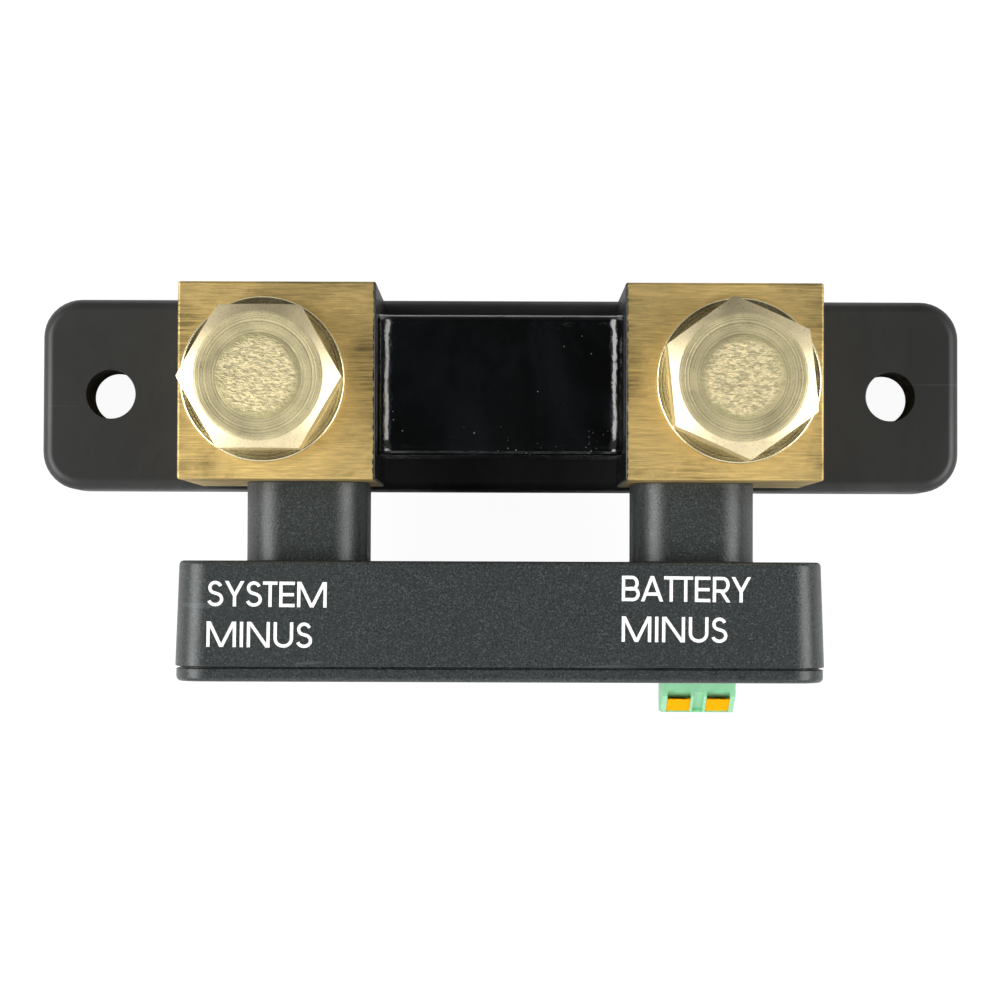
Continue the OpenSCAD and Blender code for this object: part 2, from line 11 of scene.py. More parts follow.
import bpy
from bpy.props import FloatProperty, FloatVectorProperty, IntProperty, PointerProperty
from mathutils import Matrix, Vector


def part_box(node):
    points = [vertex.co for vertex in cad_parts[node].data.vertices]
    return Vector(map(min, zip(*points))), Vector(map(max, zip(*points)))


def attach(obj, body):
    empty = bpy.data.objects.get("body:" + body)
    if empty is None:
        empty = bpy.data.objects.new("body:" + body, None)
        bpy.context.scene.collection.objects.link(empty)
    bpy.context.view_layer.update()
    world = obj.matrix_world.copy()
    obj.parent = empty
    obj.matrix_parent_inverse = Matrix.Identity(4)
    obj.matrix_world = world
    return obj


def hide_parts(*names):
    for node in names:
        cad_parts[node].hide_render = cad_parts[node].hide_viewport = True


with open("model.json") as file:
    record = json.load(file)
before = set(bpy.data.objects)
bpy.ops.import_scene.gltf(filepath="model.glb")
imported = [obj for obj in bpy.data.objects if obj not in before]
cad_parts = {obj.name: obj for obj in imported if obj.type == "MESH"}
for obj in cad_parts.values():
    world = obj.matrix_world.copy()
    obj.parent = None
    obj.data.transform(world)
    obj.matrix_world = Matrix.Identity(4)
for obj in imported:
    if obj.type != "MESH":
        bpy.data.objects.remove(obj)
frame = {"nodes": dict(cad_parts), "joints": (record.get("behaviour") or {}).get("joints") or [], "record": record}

bl_info = {
    "name": "Battery monitor shunt",
    "version": (1, 0, 0),
    "blender": (4, 5, 0),
    "location": "View3D > Sidebar > Shunt",
    "description": "Builds the visible pieces of a battery monitor shunt around its frame",
    "category": "Add Mesh",
}

MM = 0.001
X, Y, Z = 0, 1, 2
SIDES = ("system", "battery")
OUTWARD = {"system": -1, "battery": 1}
NODES = frame["nodes"]
JOINTS = {joint["name"]: joint for joint in frame["joints"]}
MOUNTS = {mount["name"]: mount for mount in frame["record"]["mounts"]}
STRIPS = sorted(
    (name for name in NODES if name.startswith("resistor_strip")),
    key=lambda name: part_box(name)[0].z,
)
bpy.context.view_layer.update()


# ---------------------------------------------------------------- sizes and colours


def length(name, description, millimetres):
    """A length property with a default given in millimetres."""
    return FloatProperty(
        name=name,
        description=description,
        default=millimetres * MM,
        unit="LENGTH",
        precision=5,
    )


def colour(name, description, red, green, blue):
    """A colour property with a linear default."""
    return FloatVectorProperty(
        name=name,
        description=description,
        default=(red, green, blue),
        subtype="COLOR",
        size=3,
        min=0,
        max=1,
    )


class ShuntSizes(bpy.types.PropertyGroup):
    """Sizes of the finish: edges, lacquer, bolt turning and lettering."""

    base_corner: length("Base corner", "Radius of the base's upright corners", 5)
    base_edge: length("Base edge", "Rounding of the base's top edge", 1.5)
    base_hole_edge: length("Hole edge", "Break of the edge round a mounting hole", 0.25)
    pocket_wall: length("Pocket wall", "Wall beside the pockets under the base", 2.5)
    pocket_rib: length("Pocket rib", "Rib between the pockets under the base", 2)
    block_edge: length("Block edge", "Break of the edges of a brass block", 0.3)
    bolt_flat: length("Bolt top flat", "Radius of the flat on a bolt head", 7.7)
    bolt_dish: length("Bolt dish", "Depth of the dish turned into a bolt head", 0.12)
    bolt_edge: length("Bolt edge", "Rounding of the edges of a bolt head", 0.16)
    thread_pitch: length("Thread pitch", "Pitch of the bolt thread", 1.5)
    washer_edge: length("Washer edge", "Rounding of the edges of a washer", 0.3)
    lacquer_lip: length("Lacquer lip", "Height of the lip along the lacquer's edges", 0.22)
    lacquer_fillet: length("Lacquer fillet", "Radius of the lacquer against a block", 1.9)
    housing_corner: length("Housing corner", "Radius of the housing's long edges", 4)
    housing_wall: length("Housing wall", "Wall of the housing shell", 2)
    housing_draft: length("Housing draft", "Taper of each end of the housing", 0.45)
    housing_rim: length("Housing rim", "Rounding of the housing's back edge", 0.5)
    neck_corner: length("Neck corner", "Radius of the necks' edges", 4.75)
    neck_bore: length("Neck bore", "Radius of the bore through a neck", 4.29)
    cover_inset: length("Cover inset", "Set-back of the cover's edge", 0.12)
    cover_edge: length("Cover edge", "Rounding of the cover's front edge", 0.6)
    parting_groove: length("Parting groove", "Width of the groove behind the cover", 0.25)
    slot_width: length("Lever slot", "Width of a lever's slot in the terminal", 3)
    lever_gap: length("Lever gap", "Side clearance of a lever in its slot", 0.1)
    letter_height: length("Letter height", "Height of the capitals on the housing", 3.1)
    line_pitch: length("Line pitch", "Distance between two lines of lettering", 4.95)
    ink: length("Ink", "Thickness of the printed ink", 0.02)
    head_sides: IntProperty(
        name="Head sides", description="Sides of a round on a bolt", default=128, min=32
    )


class ShuntColours(bpy.types.PropertyGroup):
    """Base colours of the materials."""

    base_black: colour("Base plastic", "Satin black moulding", 0.025, 0.026, 0.025)
    housing_grey: colour("Housing", "Charcoal moulding", 0.030, 0.035, 0.035)
    block_brass: colour("Block brass", "Sawn and brushed brass", 0.76, 0.565, 0.23)
    bolt_brass: colour("Bolt brass", "Turned brass", 0.93, 0.80, 0.47)
    lacquer: colour("Lacquer", "Gloss black lacquer", 0.0016, 0.002, 0.0018)
    terminal: colour("Terminal", "Light green moulding", 0.30, 0.66, 0.39)
    lever: colour("Lever", "Orange moulding", 1.0, 0.40, 0.005)
    ink: colour("Ink", "White printed lettering", 0.92, 0.92, 0.92)
    steel: colour("Steel", "Zinc plated steel", 0.60, 0.60, 0.61)
    laminate: colour("Laminate", "Solder mask of the board", 0.012, 0.13, 0.05)
    gold: colour("Contact", "Plated contacts", 0.86, 0.65, 0.26)
    nylon: colour("Nylon", "Natural nylon", 0.78, 0.74, 0.62)
    acrylic: colour("Acrylic", "Clear acrylic", 0.92, 0.94, 0.96)
    epoxy: colour("Epoxy", "Moulded chip bodies", 0.018, 0.018, 0.02)
    can: colour("Capacitor", "Aluminium cans", 0.72, 0.73, 0.75)


def sizes():
    """The sizes set on the scene."""
    return bpy.context.scene.shunt_sizes


def colours():
    """The colours set on the scene."""
    return bpy.context.scene.shunt_colours


# ---------------------------------------------------------------- modelling helpers


def deselect():
    """Leave edit mode and select nothing."""
    if bpy.context.object and bpy.context.object.mode != "OBJECT":
        bpy.ops.object.mode_set(mode="OBJECT")
    bpy.ops.object.select_all(action="DESELECT")


def only(piece):
    """Select one object and make it the active one."""
    deselect()
    piece.select_set(True)
    bpy.context.view_layer.objects.active = piece


def settled(piece):
    """Put the piece's place into its mesh."""
    only(piece)
    bpy.ops.object.transform_apply(location=True, rotation=True, scale=True)
    return piece


def box(name, low, high):
    """A block between two corners."""
    deselect()
    low, high = Vector(low), Vector(high)
    bpy.ops.mesh.primitive_cube_add(size=1, location=(low + high) / 2, scale=high - low)
    piece = bpy.context.object
    piece.name = name
    return settled(piece)


def rod(name, start, end, radius, sides=64, end_radius=None):
    """A round bar, or a cone, from one point to another."""
    deselect()
    start, end = Vector(start), Vector(end)
    along = end - start
    bpy.ops.mesh.primitive_cone_add(
        vertices=sides,
        radius1=radius,
        radius2=radius if end_radius is None else end_radius,
        depth=along.length,
        location=(start + end) / 2,
        rotation=along.to_track_quat("Z", "Y").to_euler(),
    )
    piece = bpy.context.object
    piece.name = name
    return settled(piece)


def pick_edges(piece, wanted):
    """Open the piece in edit mode with the edges selected whose two ends pass the test."""
    only(piece)
    bpy.ops.object.mode_set(mode="EDIT")
    bpy.ops.mesh.select_mode(type="EDGE")
    bpy.ops.mesh.select_all(action="DESELECT")
    bpy.ops.object.mode_set(mode="OBJECT")
    points = [vertex.co for vertex in piece.data.vertices]
    for edge in piece.data.edges:
        edge.select = bool(wanted(points[edge.vertices[0]], points[edge.vertices[1]]))
    bpy.ops.object.mode_set(mode="EDIT")


def pick_faces(piece, wanted):
    """Open the piece in edit mode with the faces selected whose centre and normal pass."""
    only(piece)
    bpy.ops.object.mode_set(mode="EDIT")
    bpy.ops.mesh.select_mode(type="FACE")
    bpy.ops.mesh.select_all(action="DESELECT")
    bpy.ops.object.mode_set(mode="OBJECT")
    for face in piece.data.polygons:
        face.select = bool(wanted(face.center, face.normal))
    bpy.ops.object.mode_set(mode="EDIT")


def runs_along(axis):
    """Tests whether an edge runs along one axis."""

    def wanted(a, b):
        step = b - a
        return all(abs(step[other]) < 1e-7 for other in (X, Y, Z) if other != axis)

    return wanted


def lies_at(axis, place, slack=1e-6):
    """Tests whether an edge lies at one place along an axis."""
    return lambda a, b: abs(a[axis] - place) < slack and abs(b[axis] - place) < slack


def round_edges(piece, wanted, radius, segments=8):
    """Round the chosen edges."""
    pick_edges(piece, wanted)
    bpy.ops.mesh.bevel(offset=radius, segments=segments, affect="EDGES", profile=0.5)
    bpy.ops.object.mode_set(mode="OBJECT")
    return piece


def rounded_box(name, low, high, axis, radius, segments=10):
    """A block whose four edges along one axis are rounded."""
    return round_edges(box(name, low, high), runs_along(axis), radius, segments)


def combine(piece, other, operation):
    """Cut the other object from the piece, add it or keep what they share; then drop it."""
    only(piece)
    step = piece.modifiers.new("combine", "BOOLEAN")
    step.object = other
    step.operation = operation
    step.solver = "EXACT"
    bpy.ops.object.modifier_apply(modifier=step.name)
    bpy.data.objects.remove(other)
    return piece


def cut(piece, *cutters):
    """Cut each cutter from the piece."""
    for cutter in cutters:
        combine(piece, cutter, "DIFFERENCE")
    return piece


def soften(piece, width, segments=2, angle=40):
    """Round every edge sharper than the angle a little."""
    only(piece)
    step = piece.modifiers.new("soften", "BEVEL")
    step.width = width
    step.segments = segments
    step.limit_method = "ANGLE"
    step.angle_limit = math.radians(angle)
    step.use_clamp_overlap = True
    step.harden_normals = False
    bpy.ops.object.modifier_apply(modifier=step.name)
    return piece


def slice_at(piece, axis, places):
    """Cut lines across the piece at places along an axis, keeping both sides."""
    normal = [0, 0, 0]
    normal[axis] = 1
    for place in places:
        point = [0, 0, 0]
        point[axis] = place
        only(piece)
        bpy.ops.object.mode_set(mode="EDIT")
        bpy.ops.mesh.select_all(action="SELECT")
        bpy.ops.mesh.bisect(plane_co=point, plane_no=normal)
        bpy.ops.object.mode_set(mode="OBJECT")


def trim(piece, point, normal):
    """Cut away what lies beyond a plane, and close the cut."""
    only(piece)
    bpy.ops.object.mode_set(mode="EDIT")
    bpy.ops.mesh.select_all(action="SELECT")
    bpy.ops.mesh.bisect(plane_co=point, plane_no=normal, clear_outer=True, use_fill=True)
    bpy.ops.object.mode_set(mode="OBJECT")
    return piece


def shift_lines(piece, axis, place, step, wanted=lambda a, b: True):
    """Move the lines at one place along an axis by a step."""
    on_line = lies_at(axis, place)
    pick_edges(piece, lambda a, b: on_line(a, b) and wanted(a, b))
    bpy.ops.transform.translate(value=step)
    bpy.ops.object.mode_set(mode="OBJECT")


def copied(piece, name, step):
    """A moved copy with a mesh of its own."""
    only(piece)
    bpy.ops.object.duplicate(linked=False)
    copy = bpy.context.object
    copy.name = name
    copy.location = step
    return settled(copy)


def joined(piece, *others):
    """Join other objects to the piece as loose shells of one object."""
    only(piece)
    for other in others:
        other.select_set(True)
    bpy.ops.object.join()
    return piece


def tidy_mesh(piece):
    """Merge doubles and turn every face outwards."""
    only(piece)
    bpy.ops.object.mode_set(mode="EDIT")
    bpy.ops.mesh.select_all(action="SELECT")
    bpy.ops.mesh.remove_doubles(threshold=1e-6)
    bpy.ops.mesh.normals_make_consistent(inside=False)
    bpy.ops.object.mode_set(mode="OBJECT")
    return piece


def finish_piece(piece, body, material, replaced=(), angle=32, weighted=True):
    """Shade the piece, give it its material, hang it under the empty of the body it rides on and hide the frame's
    parts it replaces.
    """
    only(piece)
    bpy.ops.object.shade_smooth_by_angle(angle=math.radians(angle))
    if weighted:
        flat_first = piece.modifiers.new("flat_first", "WEIGHTED_NORMAL")
        flat_first.keep_sharp = True
        bpy.ops.object.modifier_apply(modifier=flat_first.name)
    piece.data.materials.clear()
    piece.data.materials.append(material)
    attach(piece, body)
    if replaced:
        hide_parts(*replaced)
    return piece


# ---------------------------------------------------------------- materials


class NodeTree:
    """A node tree under construction."""

    def __init__(self, tree):
        self.tree = tree

    def node(self, kind, **settings):
        made = self.tree.nodes.new(kind)
        for key, value in settings.items():
            setattr(made, key, value)
        return made

    def feed(self, socket, value):
        """Link a socket into another, or set its value."""
        if isinstance(value, bpy.types.NodeSocket):
            self.tree.links.new(value, socket)
        else:
            socket.default_value = value

    def level(self, value, start, end, low=0.0, high=1.0):
        """Map a range of a value onto another, clamped."""
        made = self.node("ShaderNodeMapRange")
        for key, number in zip(("From Min", "From Max", "To Min", "To Max"), (start, end, low, high)):
            self.feed(made.inputs[key], number)
        self.feed(made.inputs["Value"], value)
        return made.outputs[0]

    def math(self, operation, first, second=0.0):
        made = self.node("ShaderNodeMath", operation=operation)
        self.feed(made.inputs[0], first)
        self.feed(made.inputs[1], second)
        return made.outputs[0]


class Recipe(NodeTree):
    """A material under construction: a node tree that reads Object coordinates."""

    def __init__(self, name, base, roughness, metallic=0.0):
        self.material = bpy.data.materials.new(name)
        self.material.use_nodes = True
        super().__init__(self.material.node_tree)
        self.shader = self.tree.nodes["Principled BSDF"]
        self.set("Base Color", (*base, 1))
        self.set("Roughness", roughness)
        self.set("Metallic", metallic)
        self.place = self.node("ShaderNodeTexCoord").outputs["Object"]
        self.bump_out = None

    def set(self, socket, value):
        self.feed(self.shader.inputs[socket], value)

    def mapped(self, scale=(1, 1, 1), centre=(0, 0, 0), turn=0):
        """Object coordinates about a centre, turned about Z and scaled."""
        moved = self.node("ShaderNodeVectorMath", operation="SUBTRACT")
        self.feed(moved.inputs[0], self.place)
        self.feed(moved.inputs[1], centre)
        made = self.node("ShaderNodeMapping", vector_type="POINT")
        self.feed(made.inputs["Vector"], moved.outputs[0])
        self.feed(made.inputs["Rotation"], (0, 0, turn))
        self.feed(made.inputs["Scale"], scale)
        return made.outputs[0]

    def noise(self, scale, detail=3.0, roughness=0.55, vector=None, distortion=0.0):
        made = self.node("ShaderNodeTexNoise")
        self.feed(made.inputs["Vector"], self.place if vector is None else vector)
        self.feed(made.inputs["Scale"], scale)
        self.feed(made.inputs["Detail"], detail)
        self.feed(made.inputs["Roughness"], roughness)
        self.feed(made.inputs["Distortion"], distortion)
        return made.outputs[0]

    def line_noise(self, value, scale, detail=3.0):
        """Noise along one number, such as a radius."""
        made = self.node("ShaderNodeTexNoise", noise_dimensions="1D")
        self.feed(made.inputs["W"], value)
        self.feed(made.inputs["Scale"], scale)
        self.feed(made.inputs["Detail"], detail)
        return made.outputs[0]

    def specks(self, scale, size, share, vector=None):
        """Small dots in a share of the cells: 1 on a dot, 0 elsewhere."""
        made = self.node("ShaderNodeTexVoronoi")
        self.feed(made.inputs["Vector"], self.place if vector is None else vector)
        self.feed(made.inputs["Scale"], scale)
        near = self.level(made.outputs["Distance"], size, size * 0.6)
        pick = self.node("ShaderNodeSeparateColor")
        self.feed(pick.inputs[0], made.outputs["Color"])
        chosen = self.level(pick.outputs[0], share, share - 0.01)
        return self.math("MULTIPLY", near, chosen)

    def mix(self, factor, first, second):
        """Blend two colours."""
        made = self.node("ShaderNodeMix", data_type="RGBA")
        self.feed(made.inputs["Factor"], factor)
        for socket, value in zip((made.inputs[6], made.inputs[7]), (first, second)):
            self.feed(socket, value if isinstance(value, bpy.types.NodeSocket) else (*value, 1))
        return made.outputs[2]

    def part(self, axis):
        """One of the three Object coordinates."""
        made = self.node("ShaderNodeSeparateXYZ")
        self.feed(made.inputs[0], self.place)
        return made.outputs[axis]

    def normal_part(self, axis):
        """One part of the surface's direction in the object's own axes."""
        made = self.node("ShaderNodeSeparateXYZ")
        self.feed(made.inputs[0], self.node("ShaderNodeTexCoord").outputs["Normal"])
        return made.outputs[axis]

    def radius_from(self, centre):
        """Distance from an upright line through a centre."""
        flat = self.mapped(scale=(1, 1, 0), centre=centre)
        made = self.node("ShaderNodeVectorMath", operation="LENGTH")
        self.feed(made.inputs[0], flat)
        return made.outputs["Value"]

    def bump(self, height, depth, strength=1.0):
        """Raise the surface by a height from 0 to 1 times a depth in metres."""
        made = self.node("ShaderNodeBump")
        self.feed(made.inputs["Strength"], strength)
        self.feed(made.inputs["Distance"], depth)
        self.feed(made.inputs["Height"], height)
        if self.bump_out is not None:
            self.feed(made.inputs["Normal"], self.bump_out)
        self.bump_out = made.outputs[0]
        self.set("Normal", self.bump_out)


def times(tint, factor):
    """A colour made lighter or darker."""
    return tuple(min(1.0, part * factor) for part in tint)


def satin_black():
    """Moulded base: satin with soft smears and a few fine scratches."""
    tint = colours().base_black
    made = Recipe("satin_black", tint, 0.42)
    smear = made.noise(55, 5, 0.6, made.mapped(scale=(1, 0.5, 1), turn=0.4), 0.6)
    grain = made.noise(2600, 2)
    scratch = made.noise(160, 2, 0.4, made.mapped(scale=(0.12, 4.5, 1), turn=0.9))
    line = made.level(scratch, 0.68, 0.73)
    fleck = made.specks(420, 0.05, 0.06)
    blotch = made.mix(made.level(smear, 0.40, 0.62), times(tint, 0.62), times(tint, 1.5))
    marks = made.math("MAXIMUM", made.math("MULTIPLY", line, 0.45), made.math("MULTIPLY", fleck, 0.5))
    made.set("Base Color", made.mix(marks, blotch, times(tint, 3.2)))
    made.set("Roughness", made.level(smear, 0.40, 0.62, 0.48, 0.33))
    made.bump(grain, 0.00001, 0.6)
    return made.material


def eroded_grey():
    """Housing: fine spark-eroded texture with pale specks and faint marks."""
    tint = colours().housing_grey
    made = Recipe("eroded_grey", tint, 0.36)
    grain = made.noise(4000, 3, 0.7)
    drift = made.noise(90, 4, 0.6)
    fleck = made.noise(4600, 2, 0.75)
    base = made.mix(made.level(drift, 0.35, 0.68), times(tint, 0.86), times(tint, 1.18))
    sparkle = made.level(fleck, 0.52, 0.68, 0.0, 0.85)
    pits = made.level(grain, 0.50, 0.34, 0.0, 0.9)
    mark = made.noise(210, 2, 0.4, made.mapped(scale=(0.25, 2.2, 1), turn=1.1))
    lint = made.level(mark, 0.735, 0.76, 0.0, 0.3)
    spotted = made.mix(sparkle, base, times(tint, 3.0))
    spotted = made.mix(pits, spotted, times(tint, 0.2))
    made.set("Base Color", made.mix(lint, spotted, times(tint, 3.6)))
    made.set("Roughness", made.level(drift, 0.35, 0.65, 0.36, 0.29))
    made.bump(grain, 0.00004, 0.8)
    return made.material


def lacquer_black():
    """Resistor: gloss black lacquer with faint smudges, pits and settled dust."""
    tint = colours().lacquer
    low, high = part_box(STRIPS[-1])
    made = Recipe("lacquer_black", tint, 0.14)
    made.set("Coat Weight", 0.5)
    made.set("Coat Roughness", 0.04)
    smudge = made.noise(70, 5, 0.62, made.mapped(scale=(1, 0.6, 1), turn=0.5), 0.8)
    haze = made.mix(made.level(smudge, 0.45, 0.75, 0.0, 0.8), tint, (0.010, 0.012, 0.015))
    front = made.level(made.part(Y), low.y + 0.0045, low.y, 0.0, 1.0)
    patch = made.level(made.noise(160, 2), 0.42, 0.6)
    few = made.specks(900, 0.10, 0.14)
    many = made.math("MULTIPLY", made.specks(2200, 0.24, 0.30), made.math("MULTIPLY", front, patch))
    dust = made.math("MAXIMUM", few, many)
    hue = made.mix(made.noise(900, 1), (0.34, 0.33, 0.32), (0.20, 0.12, 0.06))
    made.set("Base Color", made.mix(made.math("MULTIPLY", dust, 0.75), haze, hue))
    made.set("Roughness", made.math("ADD", made.level(smudge, 0.4, 0.75, 0.08, 0.2), dust))
    made.bump(made.noise(430, 3, 0.55), 0.0004, 0.7)
    made.bump(made.noise(2200, 2), 0.000006, 0.4)
    return made.material


def brushed_brass(side):
    """Block: brass brushed along X, tarnished near its edges, black inside the gap."""
    tint = colours().block_brass
    low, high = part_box(f"{side}_block")
    centre = (low + high) / 2
    half = (high - low) / 2
    made = Recipe(f"brushed_brass_{side}", tint, 0.4, 1.0)
    stroke = made.noise(1, 4, 0.65, made.mapped(scale=(420, 9000, 9000), turn=0.012))
    broad = made.noise(1, 3, 0.6, made.mapped(scale=(110, 3600, 3600), turn=0.02))
    cloud = made.noise(120, 5, 0.65, made.mapped(scale=(0.7, 1, 1)), 0.5)
    away_x = made.math("ABSOLUTE", made.math("SUBTRACT", made.part(X), centre.x))
    away_y = made.math("ABSOLUTE", made.math("SUBTRACT", made.part(Y), centre.y))
    edge_x = made.level(away_x, half.x - 0.0045, half.x)
    edge_y = made.level(away_y, half.y - 0.0045, half.y)
    rim = made.math("MAXIMUM", edge_x, edge_y)
    stain = made.level(made.math("ADD", made.math("MULTIPLY", rim, 0.22), cloud), 0.56, 0.80)
    smear = made.level(broad, 0.56, 0.74, 0.0, 0.3)
    tarnish = made.math("MAXIMUM", made.math("MULTIPLY", stain, made.level(broad, 0.3, 0.6)), smear)
    bright = made.mix(made.level(stroke, 0.3, 0.72), times(tint, 0.76), times(tint, 1.16))
    worn = made.mix(tarnish, bright, (0.26, 0.20, 0.085))
    inner = made.math("MULTIPLY", made.part(X), OUTWARD[side])
    ragged = made.math("MULTIPLY", made.noise(1500, 3), 0.0005)
    face = min(abs(low.x), abs(high.x))
    coat = made.level(made.math("SUBTRACT", inner, ragged), face + 0.00012, face + 0.00002)
    made.set("Base Color", made.mix(coat, worn, colours().lacquer))
    made.set("Metallic", made.level(coat, 0, 1, 1.0, 0.0))
    rough = made.math("ADD", made.level(stroke, 0.3, 0.7, 0.48, 0.60), made.math("MULTIPLY", tarnish, 0.1))
    made.set("Roughness", made.math("MULTIPLY", rough, made.level(coat, 0, 1, 1.0, 0.5)))
    made.bump(stroke, 0.00003, 0.8)
    return made.material


def turned_brass(name, centre, flat, gloss=0.42):
    """Bolt or washer: cast grain in the middle, lathe rings outside it, red specks, a painted shade ring at the
    dish's step and a painted highlight on the bolt's chamfer and the washer's rim.
    """
    tint = colours().bolt_brass
    made = Recipe(name, tint, gloss, 1.0)
    radius = made.radius_from(centre)
    rings = made.line_noise(radius, 5200, 4)
    wide_rings = made.line_noise(radius, 1100, 2)
    wander = made.math("MULTIPLY", made.noise(300, 2), 0.16 * flat)
    reach = made.math("ADD", radius, wander)
    ring_zone = made.math(
        "MULTIPLY",
        made.level(reach, 0.62 * flat, 0.78 * flat),
        made.level(radius, 1.02 * flat, 0.96 * flat),
    )
    grain = made.noise(1, 4, 0.7, made.mapped(scale=(1300, 3200, 1300), turn=0.8))
    speckle = made.noise(4200, 3, 0.7)
    cloud = made.noise(200, 4, 0.6)
    base = made.mix(made.level(cloud, 0.35, 0.68), times(tint, 0.8), times(tint, 1.04))
    cast = made.mix(made.level(grain, 0.40, 0.60), times(tint, 0.36), times(tint, 0.98))
    middle = made.level(reach, 0.78 * flat, 0.62 * flat)
    body = made.mix(made.math("MULTIPLY", middle, 0.75), base, cast)
    lathe = made.mix(made.level(rings, 0.34, 0.66), times(tint, 0.62), times(tint, 1.12))
    body = made.mix(made.math("MULTIPLY", ring_zone, 0.75), body, lathe)
    # Painted shade: a darker greenish ring where the dish steps down stands in for the shade at that step.
    inside = made.level(reach, 0.60 * flat, 0.70 * flat)
    outside = made.level(reach, 0.80 * flat, 0.70 * flat)
    step = made.math("MULTIPLY", made.math("MULTIPLY", inside, outside), made.level(cloud, 0.3, 0.6, 0.1, 0.65))
    body = made.mix(step, body, (0.36, 0.34, 0.15))
    # Painted highlight: the outer band, that is the bolt's chamfer and the washer's rim, is made paler to stand in
    # for the bright reflections of the lights there.
    chamfer = made.level(radius, 0.96 * flat, 1.02 * flat, 0.0, 0.45)
    body = made.mix(chamfer, body, (0.95, 0.82, 0.56))
    body = made.mix(made.level(speckle, 0.44, 0.30, 0, 0.7), body, times(tint, 0.42))
    rust = made.specks(900, 0.10, 0.10)
    made.set("Base Color", made.mix(made.math("MULTIPLY", rust, 0.6), body, (0.36, 0.16, 0.08)))
    made.set("Roughness", made.level(cloud, 0.35, 0.7, gloss, gloss + 0.12))
    made.bump(made.math("MULTIPLY", wide_rings, ring_zone), 0.00005, 0.8)
    made.bump(made.math("MULTIPLY", rings, ring_zone), 0.00003, 0.8)
    made.bump(made.math("MULTIPLY", grain, middle), 0.00022, 0.9)
    made.bump(speckle, 0.00003, 0.6)
    return made.material


def moulded(name, tint, roughness=0.4, drift=0.10, grain=0.000006, scatter=0.0, shine=0.5):
    """Plain moulding: slight unevenness of colour and gloss, with a fine surface."""
    made = Recipe(name, tint, roughness)
    cloud = made.noise(340, 4, 0.6)
    fine = made.noise(3800, 2)
    made.set("Base Color", made.mix(made.level(cloud, 0.35, 0.65), times(tint, 1 - drift), times(tint, 1 + drift)))
    made.set("Roughness", made.level(fine, 0.3, 0.7, roughness - 0.06, roughness + 0.08))
    made.set("Specular IOR Level", shine)
    if scatter:
        made.set("Subsurface Weight", scatter)
        made.set("Subsurface Scale", 0.0008)
    made.bump(fine, grain, 0.6)
    return made.material


def plated(name, tint, roughness=0.28):
    """Plated metal with a slightly uneven coat and a drawn grain."""
    made = Recipe(name, tint, roughness, 1.0)
    cloud = made.noise(700, 4, 0.6)
    drawn = made.noise(1, 3, 0.5, made.mapped(scale=(4200, 4200, 500)))
    made.set("Base Color", made.mix(made.level(cloud, 0.35, 0.65), times(tint, 0.84), times(tint, 1.08)))
    made.set("Roughness", made.level(drawn, 0.3, 0.7, roughness - 0.06, roughness + 0.12))
    made.bump(drawn, 0.000012, 0.5)
    return made.material


def solder_mask():
    """Board: green mask over a grid of copper tracks that stand a little proud."""
    tint = colours().laminate
    made = Recipe("solder_mask", tint, 0.32)
    across = made.line_noise(made.part(X), 900, 0)
    down = made.line_noise(made.part(Z), 900, 0)
    tracks = made.math("MAXIMUM", made.level(across, 0.58, 0.60), made.level(down, 0.60, 0.62))
    made.set("Base Color", made.mix(tracks, times(tint, 0.8), times(tint, 1.5)))
    made.bump(tracks, 0.00003, 0.6)
    made.bump(made.noise(4000, 2), 0.000006, 0.5)
    return made.material


def clear_plastic():
    """Light pipes: clear acrylic with a faint unevenness."""
    made = Recipe("clear_plastic", colours().acrylic, 0.12)
    made.set("Transmission Weight", 0.85)
    made.set("IOR", 1.49)
    haze = made.noise(900, 3)
    made.set("Roughness", made.level(haze, 0.3, 0.7, 0.08, 0.2))
    made.bump(haze, 0.00001, 0.4)
    return made.material


def printed_ink():
    """Lettering: opaque white ink with a faint bleed of the texture below."""
    tint = colours().ink
    made = Recipe("printed_ink", tint, 0.55)
    grain = made.noise(5200, 2, 0.6)
    made.set("Base Color", made.mix(made.level(grain, 0.3, 0.55), times(tint, 0.93), times(tint, 1.05)))
    made.bump(grain, 0.00001, 0.4)
    return made.material


# ---------------------------------------------------------------- places


def bolt_axis(side):
    """Foot of a bolt's axis, where it turns."""
    return Vector(JOINTS[f"{side}_bolt_turn"]["pos_m"])


def block_face(side):
    """X of a block's face towards the other block."""
    low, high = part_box(f"{side}_block")
    return min(low.x, high.x, key=abs)


def shell_back():
    """Y of the shell's back, behind which only the necks reach."""
    return -21.8 * MM


def lever_slope():
    """Top and foot of the terminal's slope, in the YZ plane, from the terminal housing's box."""
    low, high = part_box("terminal_housing")
    step_back, step_down = 2.2 * MM, 4.5 * MM
    top = Vector((0, low.y + step_back, high.z))
    foot = Vector((0, low.y, high.z - step_down))
    return top, foot


# ---------------------------------------------------------------- operators


class Build(bpy.types.Operator):
    """What the builders of pieces share."""

    bl_options = {"REGISTER", "UNDO"}

    def execute(self, context):
        self.build()
        deselect()
        return {"FINISHED"}


